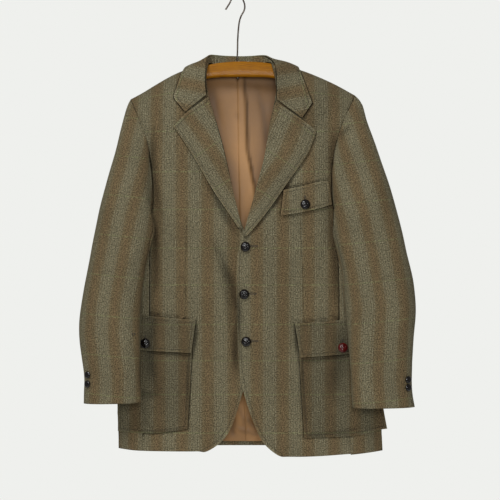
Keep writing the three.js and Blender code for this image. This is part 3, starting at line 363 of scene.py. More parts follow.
def bridge(bm, rows):
    """Faces between rings of points; a ring of one point is a tip."""
    for a, b in zip(rows, rows[1:]):
        for j in range(len(b)):
            k = (j + 1) % len(b)
            bm.faces.new((a[0], b[j], b[k]) if len(a) == 1 else (a[j], b[j], b[k], a[k]))


def welded(node):
    """A CAD node as a bmesh, with the corners its faces share made one."""
    bm = bmesh.new()
    bm.from_mesh(frame["nodes"][node].data)
    bmesh.ops.remove_doubles(bm, verts=bm.verts[:], dist=2e-6)
    return bm


def is_sharp(edge, angle):
    return len(edge.link_faces) == 2 and edge.calc_face_angle() > math.radians(angle)


def join_cells(bm, limit=40):
    """Joins the two triangles of each cell across the cell's diagonal."""
    longest = {f: max(f.edges, key=lambda e: e.calc_length()) for f in bm.faces}
    cut = [e for e in bm.edges if len(e.link_faces) == 2
           and all(longest[f] is e for f in e.link_faces)
           and e.calc_face_angle() < math.radians(limit)]
    bmesh.ops.dissolve_edges(bm, edges=cut, use_verts=False)


def write_points(mesh, co):
    mesh.vertices.foreach_set("co", np.ascontiguousarray(co, dtype=np.float32).ravel())
    mesh.update()


def subdivided(obj, levels):
    """A new mesh: the smooth limit of an object's mesh."""
    mod = obj.modifiers.new("smooth", "SUBSURF")
    mod.levels = mod.render_levels = levels
    mod.use_limit_surface = True
    mod.uv_smooth = "NONE"
    dg = bpy.context.evaluated_depsgraph_get()
    dg.update()
    made = bpy.data.meshes.new_from_object(obj.evaluated_get(dg))
    obj.modifiers.clear()
    return made


def smooth_copy(node, name, levels, sharp=50):
    """A smooth surface through the corners of a CAD node, with its rims kept sharp."""
    bm = welded(node)
    join_cells(bm)
    crease = bm.edges.layers.float.new("crease_edge")
    for edge in bm.edges:
        if is_sharp(edge, sharp):
            edge[crease] = 1.0
    mesh = mesh_of(bm, name)
    obj = link(name, mesh)
    goal = read_points(mesh)
    cage = goal.copy()
    for _ in range(2):
        fitted = subdivided(obj, 1)
        cage += goal - read_points(fitted)[: len(goal)]
        write_points(mesh, cage)
        bpy.data.meshes.remove(fitted)
    obj.data = subdivided(obj, levels)
    obj.data.name = name
    bpy.data.meshes.remove(mesh)
    return obj


SHORT_EDGE = 3  # mm; a panel's wall is thinner, so edges across it are left out


def rim_points(node, sharp=50, step=2.0):
    """Points along a node's sharp edges, in mm."""
    bm = welded(node)
    points = []
    for edge in bm.edges:
        if is_sharp(edge, sharp):
            a, b = (v.co / MM for v in edge.verts)
            if (a - b).length > SHORT_EDGE:
                count = max(2, int((a - b).length / step))
                points += [tuple(a.lerp(b, k / count)) for k in range(count)]
    bm.free()
    return np.array(points)


def tree_of(points):
    tree = KDTree(len(points))
    for k, p in enumerate(points):
        tree.insert(p, k)
    tree.balance()
    return tree


def distance_to(points, co):
    tree = tree_of(points)
    return np.array([tree.find(p)[2] for p in co])


def put_uv(mesh, name, values):
    layer = mesh.uv_layers.new(name=name)
    corner = np.empty(len(mesh.loops), dtype=np.int32)
    mesh.loops.foreach_get("vertex_index", corner)
    layer.data.foreach_set("uv", np.ascontiguousarray(values[corner], dtype=np.float32).ravel())


def shade(mesh, sharp=50):
    mesh.shade_smooth()
    mesh.set_sharp_from_angle(angle=math.radians(sharp))


FAR = 60.0  # stands for any greater distance, in mm
SEAM_DIP = {"depth": 1.0, "width": 3.0}  # trough at a seam
DART_DIP = {"depth": 0.7, "width": 2.4}
UNDER_DIP = {"depth": 1.9, "width": 4.2}  # beneath the edge of a flap, lapel or pocket
CRISP = 0.72  # painted shadow line there, against a seam's
CRISP_COLLAR = 0.42
DART_LINE = 0.55
GORGE = {"reach": 7, "line": 1.25}  # where collar and lapel meet
HEM_FADE = {"from": -926, "over": 30, "slope": 0.15}
SEEN_FLAT = np.array([1.0, 0.0, 1.0])  # drops the depth
DARTS = [[(-106, -679), (-104.5, -560), (-102, -471)],  # across, height, rising
         [(140, -688), (136, -560), (133, -478)]]
DEEPEST = 0.7  # share of light that a hollow may lose
SEAM_REACH = {"edge": 1.2, "gap": 0.8, "share": 0.56}
pieces = {}


def trough(distance, dip):
    return dip["depth"] * np.exp(-((distance / dip["width"]) ** 2))


def dart_distance(co):
    x, y, z = co.T
    near = np.full(len(co), FAR)
    for line in DARTS:
        line = np.array(line, float)
        middle = np.interp(z, line[:, 1], line[:, 0])
        past = np.maximum(z - line[-1, 1], 0) + np.maximum(line[0, 1] - z, 0)
        near = np.minimum(near, np.hypot(x - middle, past))
    return np.where(y < 0, near, FAR)


BODY_SEAMS = [f"{part}_{side}" for part in ("back", "side", "front") for side in ("right", "left")]
FINE_RIMS = {name: rim_points(name, step=0.4) for name in BODY_SEAMS}


def toward(node, co, rims):
    """Carries a body panel's edge over half of the seam's gap to the next panel."""
    shift = np.zeros_like(co)
    if node not in BODY_SEAMS:
        return shift
    tree = tree_of(np.concatenate([p for n, p in FINE_RIMS.items() if n != node]))
    for k in np.flatnonzero(distance_to(rims, co) < SEAM_REACH["edge"]):
        goal, _, gap = tree.find(co[k])
        if gap < SEAM_REACH["gap"]:
            shift[k] = (np.array(goal) - co[k]) * SEAM_REACH["share"]
    return shift


def under_covers(co, under):
    """Depth of the troughs under other pieces' edges, and the distance to the painted shadow line
    there.
    """
    gaps = {cover: distance_to(rim_points(cover) * SEEN_FLAT, co * SEEN_FLAT) for cover in under}
    turned = [cover for cover in gaps if "lapel" in cover or cover == "collar"]
    dip, line = np.zeros(len(co)), np.full(len(co), FAR)
    for cover, near in gaps.items():
        near = np.where(co[:, 1] < 0, near, FAR)
        dip = dip + trough(near, UNDER_DIP)
        crisp = near * (CRISP_COLLAR if cover == "collar" else CRISP)
        others = [gaps[n] for n in turned if n != cover]
        if others and cover in turned:
            crisp = np.where(np.minimum.reduce(others) < GORGE["reach"],
                             np.maximum(crisp, GORGE["line"]), crisp)
        line = np.minimum(line, crisp)
    return dip, line


def cloth(node, levels, coords, material=None, move=body_move, free=None, seam=None, darts=False,
          own=None, under=(), shades=()):
    """One piece of cloth: smooth form, woven coordinates, folds, and distances to its edges.

    free and seam pick the rims with a stitched edge and with a seam, own adds folds of the
    piece's own, under names the pieces whose edges lie on it and throw painted shadow lines and
    troughs there, and shades give the shade painted on it.
    """
    obj = smooth_copy(node, node + "_cloth", levels)
    mesh = obj.data
    co = read_points(mesh) / MM
    rims = rim_points(node)
    edge, line = (distance_to(rims[test(rims)], co) if test else np.full(len(co), FAR)
                  for test in (free, seam))
    line = line + np.clip(HEM_FADE["from"] - co[:, 2], 0, HEM_FADE["over"]) * HEM_FADE["slope"]
    shift = move(co) + toward(node, co, rims)
    if own:
        shift = shift + own(co)
    dip, covered = under_covers(co, under)
    dip = dip + trough(line, SEAM_DIP)
    line = np.minimum(line, covered)
    if darts:
        near = dart_distance(co)
        dip = dip + trough(near, DART_DIP)
        line = np.minimum(line, near + DART_LINE)
    shift = shift - move_out(node, co) * dip[:, None]
    put_uv(mesh, "cloth", coords(co))
    put_uv(mesh, "edges", np.stack([np.minimum(edge, FAR), np.minimum(line, FAR)], 1) * MM)
    # painted shade, kept on each point as the attribute shade
    dark = shades(co) if callable(shades) else np.where(
        co[:, 1] < 0, fold_sum(co[:, 0], co[:, 2], shades), 0.0)
    mesh.attributes.new("shade", "FLOAT", "POINT").data.foreach_set(
        "value", np.clip(dark, 0, DEEPEST).astype(np.float32))
    write_points(mesh, (co + shift) * MM)
    shade(mesh)
    stand_for(obj, node, material or TWEED)
    pieces[node] = {"obj": obj, "edge": edge}


def move_out(node, co):
    """Unit vectors away from the body or sleeve that a node belongs to."""
    if node.startswith("sleeve"):
        return sleeve_out(co, -1 if "right" in node else 1)
    return body_out(co)


# ---- materials ----
class Look:
    """A small builder of shader nodes. Sockets are passed on, numbers are set in place."""

    def __init__(self, name):
        self.material = bpy.data.materials.new(name)
        self.material.use_nodes = True
        self.tree = self.material.node_tree
        self.tree.nodes.clear()
        self.out = self.tree.nodes.new("ShaderNodeOutputMaterial")
        self.bsdf = self.tree.nodes.new("ShaderNodeBsdfPrincipled")
        self.tree.links.new(self.bsdf.outputs[0], self.out.inputs[0])

    def plug(self, socket, value):
        if hasattr(value, "is_output"):
            self.tree.links.new(value, socket)
        else:
            socket.default_value = value

    def node(self, kind, inputs=(), **settings):
        made = self.tree.nodes.new("ShaderNode" + kind)
        for key, value in settings.items():
            setattr(made, key, value)
        for key, value in dict(inputs).items():
            self.plug(made.inputs[key], value)
        return made

    def math(self, kind, a, b=0.0, c=0.0):
        return self.node("Math", {0: a, 1: b, 2: c}, operation=kind).outputs[0]

    def add(self, a, b):
        return self.math("ADD", a, b)

    def sub(self, a, b):
        return self.math("SUBTRACT", a, b)

    def mul(self, a, b):
        return self.math("MULTIPLY", a, b)

    def off(self, a, b):
        """How far two values are apart."""
        return self.math("ABSOLUTE", self.sub(a, b))

    def off_line(self, value, step):
        """How far a value is from the nearest multiple of a step."""
        share = self.math("FRACT", self.add(self.math("DIVIDE", value, step), 0.5))
        return self.mul(self.off(share, 0.5), step)

    def shaded(self, color, light):
        """A colour times the light that reaches it."""
        grey = self.node("CombineColor", {0: light, 1: light, 2: light}).outputs[0]
        return self.mix(1.0, color, grey, "MULTIPLY")

    def lit(self):
        """The share of light left by the shade painted on the cloth."""
        return self.sub(1.0, self.node("Attribute", attribute_name="shade").outputs["Fac"])

    def ramp(self, value, low, high, start=0.0, end=1.0):
        made = self.node("MapRange", {0: value, 1: low, 2: high, 3: start, 4: end},
                         interpolation_type="SMOOTHSTEP")
        return made.outputs[0]

    def mix(self, share, a, b, kind="MIX"):
        made = self.node("Mix", data_type="RGBA", blend_type=kind)
        for key, value in ((0, share), (6, a), (7, b)):
            self.plug(made.inputs[key], value)
        return made.outputs[2]

    def noise(self, where, scale, detail=2.0, rough=0.5, stretch=None):
        if stretch:
            where = self.node("Mapping", {"Vector": where, "Scale": stretch}).outputs[0]
        return self.node("TexNoise", {"Vector": where, "Scale": scale, "Detail": detail,
                                      "Roughness": rough}).outputs[0]

    def uv(self, name):
        return self.node("UVMap", uv_map=name).outputs[0]

    def split(self, vector):
        made = self.node("SeparateXYZ", {0: vector})
        return made.outputs[0], made.outputs[1]

    def place(self):
        return self.node("TexCoord").outputs["Object"]

    def set(self, **values):
        names = {"color": "Base Color", "sheen": "Sheen Weight", "coat": "Coat Weight",
                 "specular": "Specular IOR Level"}
        for key, value in values.items():
            self.plug(self.bsdf.inputs[names.get(key, key.replace("_", " ").title())], value)

    def bump(self, height, strength=1.0):
        """Height in millimetres."""
        made = self.node("Bump", {"Strength": strength, "Distance": MM, "Height": height})
        self.plug(self.bsdf.inputs["Normal"], made.outputs[0])


def srgb(r, g, b):
    def lin(c):
        c /= 255
        return c / 12.92 if c <= 0.04045 else ((c + 0.055) / 1.055) ** 2.4
    return (lin(r), lin(g), lin(b), 1.0)


def tweed_look(name, light):
    """Green and rust bands with pale threads, window lines, and a twill of flecked yarn; a light
    below 1 darkens all of it as painted shade, and painted shade and shadow lie in its grooves,
    hollows and under covering edges.
    """
    k = Look(name)
    where = k.uv("cloth")
    u, v = k.split(where)
    edge, seam = k.split(k.uv("edges"))
    fleck = k.noise(where, 420.0, 3.0, 0.65)
    slub = k.noise(where, 60.0, 3.0, 0.6, (4.0, 1.0, 1.0))
    cloud = k.noise(where, 9.0, 2.0)

    # distances from a green band's middle and from a window line
    wander = k.mul(k.sub(k.noise(where, 30.0), 0.5), 0.003)
    near = k.off_line(k.add(u, wander), BAND)
    level = k.off_line(v, LINE)
    ragged = k.add(near, k.mul(k.sub(k.noise(where, 260.0, 2.0), 0.5), 0.016))
    green = k.ramp(ragged, 0.004, 0.022, 1.0, 0.0)
    rust = k.ramp(near, 0.0205, 0.0262, 0.0, 1.0)
    pale = 0.0
    for thread in (0.0022, 0.0072, 0.0122):
        pale = k.add(pale, k.ramp(k.off(near, thread), 0.0003, 0.0011, 1.0, 0.0))
    window = k.ramp(level, 0.0006, 0.0019, 1.0, 0.0)

    color = k.mix(green, srgb(107, 93, 67), srgb(110, 103, 80))
    color = k.mix(k.mul(rust, 0.25), color, srgb(112, 88, 62))
    color = k.mix(k.mul(pale, k.ramp(fleck, 0.4, 0.62, 0.15, 0.62)), color, srgb(136, 132, 110))
    color = k.mix(k.mul(window, k.ramp(slub, 0.36, 0.64, 0.1, 0.46)), color, srgb(124, 130, 88))

    # light and dark: yarn, a lighter band along free edges, painted shade in the stitched groove
    # and the hollows, dark seam and dart lines, and painted shadow lines under covering edges
    rib = k.math("SINE", k.mul(k.add(u, v), 2 * math.pi / TWILL))
    tone = k.mul(k.ramp(fleck, 0.3, 0.7, 0.32, 1.66), k.ramp(slub, 0.25, 0.75, 0.86, 1.14))
    tone = k.mul(tone, k.ramp(cloud, 0.25, 0.75, 0.92, 1.07))
    tone = k.mul(tone, k.add(1.0, k.mul(rib, 0.07)))
    # painted shade in the stitched groove, which is also pressed in as a bump
    groove = k.ramp(k.off(edge, STITCH_IN * MM), 0.0, 0.0013, 1.0, 0.0)
    # dark seam and dart lines, with painted shadow lines under the edges of lapels, flaps, collar
    # and pockets
    seam_and_shadow_line = k.ramp(seam, 0.0003, 0.0019, 1.0, 0.0)
    dark = k.math("MAXIMUM", k.mul(groove, 0.4), k.mul(seam_and_shadow_line, 0.84))
    tone = k.mul(tone, k.math("MULTIPLY_ADD", dark, -light, light))
    # painted shade from the piece's shade attribute
    tone = k.mul(tone, k.lit())
    # a lighter band along the free edges
    tone = k.add(tone, k.ramp(edge, 0.0004, 0.0026, 0.42, 0.0))
    k.set(color=k.shaded(color, tone), roughness=0.93, specular=0.18, sheen=0.1,
          sheen_roughness=0.45, sheen_tint=srgb(178, 170, 140))

    height = k.add(k.mul(rib, 0.05), k.mul(fleck, 0.3))
    height = k.sub(height, k.mul(groove, 0.42))
    height = k.sub(height, k.mul(seam_and_shadow_line, 0.5))
    height = k.add(height, k.mul(slub, 0.18))
    k.bump(height, 0.75)
    return k.material


def lining_look():
    """Tan satin, with painted shade deep in the neck and above the hem."""
    k = Look("lining_satin")
    where = k.uv("cloth")
    u, v = k.split(where)
    soft = k.noise(where, 14.0, 3.0, 0.6)
    fine = k.noise(where, 700.0, 2.0, 0.5, (1.0, 0.12, 1.0))
    color = k.mix(k.ramp(soft, 0.3, 0.7), srgb(192, 144, 93), srgb(203, 154, 102))
    color = k.mix(k.ramp(fine, 0.4, 0.7, 0.0, 0.18), color, srgb(188, 144, 98))
    z = k.node("SeparateXYZ", {0: k.place()}).outputs[2]
    # painted shade: darker towards the neck and just above the hem
    deep = k.mul(k.ramp(z, -0.36, -0.19, 1.0, 0.62), k.ramp(z, -0.93, -0.86, 0.72, 1.0))
    k.set(color=k.shaded(color, k.mul(deep, k.lit())), roughness=k.ramp(soft, 0.2, 0.8, 0.42, 0.55),
          specular=0.3, anisotropic=0.4, sheen=0.15, sheen_roughness=0.35)
    rib = k.math("SINE", k.mul(k.add(u, v), 2 * math.pi / SATIN_TWILL))
    k.bump(k.add(k.mul(rib, 0.012), k.mul(soft, 0.9)), 0.8)
    return k.material


def leather_look(name, base, worn):
    k = Look(name)
    where = k.place()
    grain = k.noise(where, 1400.0, 4.0, 0.6)
    rub = k.noise(where, 260.0, 3.0)
    k.set(color=k.mix(k.ramp(rub, 0.45, 0.75), base, worn),
          roughness=k.ramp(rub, 0.3, 0.7, 0.06, 0.14), specular=0.5, coat=0.05, coat_roughness=0.05)
    k.bump(k.mul(grain, 0.12), 0.6)
    return k.material


def wood_look():
    k = Look("hanger_wood")
    where = k.place()
    along = k.node("Mapping", {"Vector": where, "Scale": (0.12, 1.0, 1.0)}).outputs[0]
    rings = k.node("TexWave", {"Vector": along, "Scale": 120.0, "Distortion": 7.0, "Detail": 3.0,
                               "Detail Scale": 1.6}, bands_direction="Z").outputs["Fac"]
    pores = k.noise(where, 900.0, 2.0, 0.5, (0.06, 1.0, 1.0))
    cloud = k.noise(where, 22.0, 2.0)
    color = k.mix(k.ramp(rings, 0.2, 0.9), srgb(166, 108, 6), srgb(144, 88, 2))
    color = k.mix(k.ramp(pores, 0.52, 0.72, 0.0, 0.55), color, srgb(118, 72, 22))
    color = k.mix(k.ramp(cloud, 0.4, 0.8, 0.0, 0.4), color, srgb(172, 118, 14))
    k.set(color=color, roughness=0.4, coat=0.05, coat_roughness=0.1, specular=0.1)
    k.bump(k.mul(pores, -0.1), 0.5)
    return k.material


def steel_look():
    k = Look("hanger_steel")
    where = k.place()
    drawn = k.noise(where, 500.0, 3.0, 0.6, (1.0, 1.0, 0.1))
    spots = k.noise(where, 90.0, 3.0)
    k.set(color=k.mix(k.ramp(spots, 0.45, 0.7), srgb(96, 88, 80), srgb(62, 52, 46)), metallic=1.0,
          roughness=k.ramp(drawn, 0.3, 0.7, 0.28, 0.5))
    k.bump(k.mul(drawn, 0.05), 0.5)
    return k.material


def thread_look(name, base, light):
    k = Look(name)
    where = k.place()
    ply = k.noise(where, 1600.0, 2.0)
    k.set(color=k.mix(k.ramp(ply, 0.35, 0.65), base, light), roughness=0.7, specular=0.3, sheen=0.2)
    k.bump(k.mul(ply, 0.08), 0.5)
    return k.material


TWEED = tweed_look("tweed", 1.0)
TWEED_PAINTED_SHADE = tweed_look("tweed_painted_shade", 0.76)  # the hip pockets and their flaps: the same tweed darkened to 0.76 as painted shade
SATIN = lining_look()
LEATHER = leather_look("button_leather", srgb(9, 5, 4), srgb(22, 11, 8))
OXBLOOD = leather_look("button_oxblood", srgb(74, 12, 11), srgb(104, 26, 20))
WOOD = wood_look()
STEEL = steel_look()
THREAD = thread_look("thread_olive", srgb(70, 62, 44), srgb(98, 90, 66))
DARK_THREAD = thread_look("thread_dark", srgb(30, 24, 18), srgb(52, 44, 34))

# ---- cloth pieces ----
# where the middle of a green stripe lies across, in mm
LEFT_PHASE, RIGHT_PHASE, BACK_PHASE, SLEEVE_PHASE = 16.0, -32.0, 18.0, 14.0
HEM, CUFF, ROLL_END = -952, -846, -500  # heights, in mm
EDGE_RIGHT = [  # height, across, from the hem up
    (-958, -60), (-952, -46), (-942, -34), (-923, -19), (-891, -3), (-852, 8), (-830, 15),
    (-793, 28), (-730, 37), (-562, 37), (-511, 20), (-495, 13), (-322, -28), (-256, -47),
    (-219, -58), (-148, -66)]
EDGE_LEFT = [
    (-965, 86), (-959, 74), (-948, 62), (-930, 50), (-894, 34), (-845, 18), (-803, 8),
    (-730, 3), (-654, 0), (-606, 0), (-555, 2), (-526, 10), (-503, 16), (-455, 30),
    (-350, 58), (-287, 68), (-245, 75), (-147, 85)]


# tests that pick points of a rim
def by_edge(line, reach=6):
    return lambda p: np.abs(p[:, 0] - read_off(line, p[:, 2])) <= reach


def low(limit):
    return lambda p: p[:, 2] < limit


def neither(*tests):
    return lambda p: ~np.any([t(p) for t in tests], axis=0)


def everywhere(p):
    return np.ones(len(p), bool)


def body_part(phase, through=False, plain=False):
    return lambda co: body_coords(co, phase, through, plain)


# painted shade where less light reaches the cloth, in hollows, beside the sleeves and under flap,
# pocket and cuff edges: two ends as for folds, width, share of light lost
SLEEVE_SIDE = [(-174, -650, -172, -836, 13, 0.56), (214, -690, 208, -850, 18, 0.38)]
PAINTED_SHADE_ROWS = [
    (-26, -566, 3, -668, 10, 0.56), (1, -640, 1, -800, 8, 0.58), (-46, -520, -22, -585, 9, 0.22),
    (-62, -400, 2, -506, 8, 0.48), (113, -376, 80, -452, 8, 0.5), (84, -440, 34, -500, 7, 0.3),
    (-173, -290, -165, -470, 9, 0.52), (-165, -470, -172, -650, 9, 0.46),
    (204, -290, 198, -460, 9, 0.44), (198, -460, 212, -650, 9, 0.38),
    (-250, -838, -152, -838, 8, 0.36), (-170, -756, -86, -759, 5, 0.3),
    (122, -772, 214, -764, 5, 0.3), (-82, -690, -85, -750, 3.5, 0.5),
    (-98, -756, -100, -905, 3.5, 0.4), (119, -693, 127, -758, 3.5, 0.55),
    (134, -762, 142, -915, 3.5, 0.5), (170, -200, 150, -290, 40, 0.14),
    (-236, -922, -96, -914, 4, 0.32), (128, -926, 270, -910, 4, 0.32),
    (78, -440, 82, -410, 4, 0.45), (84, -446, 190, -428, 4, 0.3),
    (90, -415, 192, -395, 3.0, 0.6), (-246, -668, -80, -684, 3.0, 0.42),
    (118, -690, 286, -673, 3.0, 0.42),
] + SLEEVE_SIDE
# painted shade in the sleeve head's dimple
HEAD_DIMPLE = [(209, -304, 237, -284, 4.5, 0.42), (214, -300, 222, -318, 6, 0.15)]
# across, height of the line that a flap hangs from
FLAP_TOPS = {"pocket_flap_right": [(-247, -671), (-170, -679), (-83, -686)],
             "pocket_flap_left": [(121, -693), (210, -687), (289, -676)],
             "chest_flap": [(98, -417), (140, -408), (178, -399), (190, -399)]}
LAPEL_EDGE = {  # height, across
    "right": [(-500, 8), (-467, -14), (-432, -38), (-396, -60), (-360, -81), (-329, -100),
              (-303, -117), (-286, -129), (-240, -162)],
    "left": [(-515, 19), (-484, 46), (-449, 73), (-413, 98), (-376, 124), (-344, 146),
             (-314, 159), (-294, 165), (-240, 190)],
}
# how far the front lies back under the lapel and the lap: height, millimetres
LAPEL_SHADE = [(-530, 0), (-505, 5), (-440, 6.5), (-380, 4.5), (-300, 2), (-275, 0)]
LAP_SHADE = [(-830, 0), (-760, 5), (-670, 9.5), (-610, 10), (-560, 6), (-520, 1.5), (-500, 0)]
LAP_WIDTH = [(-760, 9), (-680, 13), (-600, 19), (-530, 24)]
# the lining: its pleat, and where the wearer's left and right rolls shade it
LEFT_ROLL = [(-500, 16), (-400, 44), (-300, 64), (-220, 80)]
RIGHT_ROLL = [(-500, 12), (-400, -14), (-300, -40), (-220, -58)]
ROLL_REACH, PLEAT_STEP = 24, 3.2
PLEAT = [(-945, 44), (-415, 40), (-331, 21), (-248, 20), (-177, 13), (-140, 12)]


def lining_folds(co, right=0, down=0):
    return fold_sum(co[:, 0] - right, co[:, 2] + down, LINING_FOLDS)


def lining_own(co):
    """The centre pleat's step and the lining's own folds; they stand out to the front."""
    past = co[:, 0] - read_off(PLEAT, co[:, 2])
    step = PLEAT_STEP / (1 + np.exp(past / 0.9)) * np.exp(-(np.maximum(-past, 0) / 60) ** 2)
    lift = lining_folds(co) + step
    return np.stack([0 * lift, -lift, 0 * lift], 1)


def lining_shade(co):
    """Less light right of the pleat, along its edge, near both rolls and in the creases."""
    x, z = co[:, 0], co[:, 2]
    past = x - read_off(PLEAT, z)
    share = 1 / (1 + np.exp(-past / 0.7))
    near = np.exp(-((past - 2) / 3.5) ** 2) * 0.26
    left = np.clip((x - read_off(LEFT_ROLL, z) + ROLL_REACH) / ROLL_REACH, 0, 1) * 0.22
    right = np.clip((read_off(RIGHT_ROLL, z) + ROLL_REACH - x) / ROLL_REACH, 0, 1) * 0.24
    upper = np.clip((z + 560) / 40, 0, 1)
    crease = (np.clip(-0.2 * lining_folds(co), 0, 0.4)
              + np.clip(0.12 * lining_folds(co, 4, 3), 0, 0.3))
    return (share * 0.26 + near + left * share + right) * upper + crease


def front_own(co, side):
    """Hollows under the lapel's edge and, on the wearer's right, beneath the lap."""
    x, z = co[:, 0], co[:, 2]
    off = (x - read_off(LAPEL_EDGE[side], z)) * (1 if side == "left" else -1)
    deep = read_off(LAPEL_SHADE, z) * np.exp(-(((off - 1) / 10) ** 2))
    if side == "right":
        lap = x - read_off(EDGE_LEFT, z) + 4
        wide = np.where(lap < 0, read_off(LAP_WIDTH, z), 40)
        deep = deep + read_off(LAP_SHADE, z) * np.exp(-((lap / wide) ** 2))
    return -body_out(co) * deep[:, None]


for side, edge_line, phase in (("right", EDGE_RIGHT, RIGHT_PHASE), ("left", EDGE_LEFT, LEFT_PHASE)):
    rim, hem, cuff = by_edge(edge_line), low(HEM), low(CUFF)
    below_roll = lambda p, t=rim: t(p) & low(ROLL_END)(p)
    covers = [f"lapel_{side}", "collar", f"pocket_{side}", f"pocket_flap_{side}"]
    covers += ["chest_flap"] if side == "left" else []
    cloth(f"front_{side}", 3, body_part(phase), free=below_roll, seam=neither(rim, hem),
          darts=True, own=lambda co, s=side: front_own(co, s), under=covers, shades=PAINTED_SHADE_ROWS)
    cloth(f"back_{side}", 2, body_part(BACK_PHASE), seam=neither(hem))
    cloth(f"side_{side}", 2, body_part(phase, through=True), seam=neither(hem))
    flat = body_part(phase, plain=True)
    cloth(f"pocket_{side}", 3, flat, TWEED_PAINTED_SHADE, free=everywhere, under=[f"pocket_flap_{side}"],
          shades=PAINTED_SHADE_ROWS)
    cloth(f"pocket_flap_{side}", 3, flat, TWEED_PAINTED_SHADE, free=everywhere, shades=SLEEVE_SIDE)
    sign = -1 if side == "right" else 1
    for part, levels in (("top", 3), ("under", 2)):
        cloth(f"sleeve_{side}_{part}", levels,
              lambda co, s=sign: sleeve_coords(co, s, s * SLEEVE_PHASE),
              move=lambda co, s=sign: sleeve_move(co, s), seam=neither(cuff), shades=HEAD_DIMPLE)
    cloth(f"lining_back_{side}", 3, body_part(0.0), SATIN, own=lining_own, shades=lining_shade)
cloth("chest_flap", 3, body_part(LEFT_PHASE), free=everywhere, under=["lapel_left"])

LAPEL_ROLL = {  # height, across
    "right": [(-494, 11.5), (-394, -12), (-290, -38), (-224, -57)],
    "left": [(-510, 15), (-412, 41), (-300, 66), (-235, 82)],
}
LAPEL_SLOPE = 0.57  # of its cloth's grain, in radians


def lapel_coords(co, side):
    """In from the lapel's outer edge, and up along it."""
    x, y, z = co.T
    lean = -1 if side == "right" else 1
    u = np.abs(read_off(LAPEL_EDGE[side], z) - x) * math.cos(LAPEL_SLOPE)
    v = z * math.cos(LAPEL_SLOPE) + lean * x * math.sin(LAPEL_SLOPE)
    return np.stack([u - 12.0, v + 12.0], 1) * MM


for side in ("right", "left"):
    cloth(f"lapel_{side}", 3, lambda co, s=side: lapel_coords(co, s),
          free=lambda p, roll=LAPEL_ROLL[side]: ~by_edge(roll, 7)(p))

BACK_MIDDLE = 10


def collar_coords(co):
    """Along the collar from the back's middle, and across it from the roll."""
    x, y, z = co.T
    side = np.sign(x - BACK_MIDDLE)
    away = np.abs(x - BACK_MIDDLE)
    forward = np.clip(-y + 31, 0, 120)
    fall = np.clip(-130 - z, 0, 200)
    lean = np.clip((forward - 20) / 40, 0, 1)
    u = away * (1 - lean) + lean * (away * 0.22 + fall * 0.97 + 36)
    v = fall * (1 - lean) + lean * (away * 0.97 - fall * 0.22 - 30)
    return np.stack([side * u - 8, v], 1) * MM


def collar_free(p):
    """The outer edge and the two front ends, not the roll."""
    roll_x = np.interp(p[:, 2], [-230, -200, -176, -150, -130], [84, 84, 84, 78, 54])
    off_roll = np.abs(p[:, 0] - BACK_MIDDLE) >= roll_x - BACK_MIDDLE + 8
    return off_roll | (p[:, 2] <= -216)


def collar_move(co):
    return ripple(co[:, 0], co[:, 2], 0.1)[:, None] * body_out(co)


# painted shade over the collar's wearer's left side
cloth("collar", 3, collar_coords, move=collar_move, free=collar_free,
      shades=[(70, -150, 96, -240, 40, 0.2)])


def stand_tuck(co):
    """The stand's two ends lie outward, against the inside of the leaf."""
    away = co[:, 0] - BACK_MIDDLE
    reach = np.clip((np.abs(away) - 46) / 26, 0, 1) * np.clip((40 - co[:, 1]) / 30, 0, 1)
    return np.stack([np.sign(away) * reach * 5.5, 0 * away, 0 * away], 1)


# painted shade along the stand
cloth("collar_stand", 2, collar_coords, move=collar_move, own=stand_tuck,
      shades=[(-80, -150, 100, -150, 60, 0.25)])

# ---- hanger ----
for node in ("hanger_bar", "hanger_hook", "hanger_nut"):
    obj = smooth_copy(node, node + "_smooth", 2, sharp=38)
    shade(obj.data, 40)
    wood = node == "hanger_bar"
    stand_for(obj, node, WOOD if wood else STEEL)


# ---- buttons ----
def button_place(node):
    """Centre of a CAD button's foot, its outward axis, radius and height, in metres."""
    bm = welded(node)
    co = np.array([v.co for v in bm.verts])
    bm.free()
    _, vectors = np.linalg.eigh(np.cov((co - co.mean(0)).T))
    axis = vectors[:, 0]
    spot = (co.min(0) + co.max(0)) / 2
    away = move_out("sleeve_" + node if "cuff" in node else node, spot[None] / MM)[0]
    if axis @ away < 0:
        axis = -axis
    along = (co - spot) @ axis
    radius = np.linalg.norm((co - spot) - np.outer(along, axis), axis=1).max()
    return Vector(spot + axis * along.min()), Vector(axis), float(radius), float(np.ptp(along))


STRAP = 0.62  # a plaited strap's width, for a button of radius 1
RINGS, SPOKES = 22, 56
BUTTON_SIDE = ((1.0, 0.3), (0.97, 0.16), (0.86, 0.05), (0.5, 0.0))  # radius, height


def woven_height(x, y):
    """Plaited straps over a dome: height of the plait at a place in the unit disc."""
    i, j = math.floor(x / STRAP + 0.5), math.floor(y / STRAP + 0.5)
    fx, fy = x / STRAP - i, y / STRAP - j
    over, along = (fy, fx) if (i + j) % 2 == 0 else (fx, fy)
    strap = math.cos(math.pi * max(-0.5, min(0.5, over * 0.96))) ** 0.55
    crown = 0.62 + 0.38 * math.cos(math.pi * along)
    return strap * crown


def button_shift(node, foot):
    """How far the folds carry a button's foot."""
    co = np.array(foot)[None] / MM
    if "cuff" in node:
        return sleeve_move(co, -1 if "right" in node else 1)[0] * MM
    return body_move(co)[0] * MM


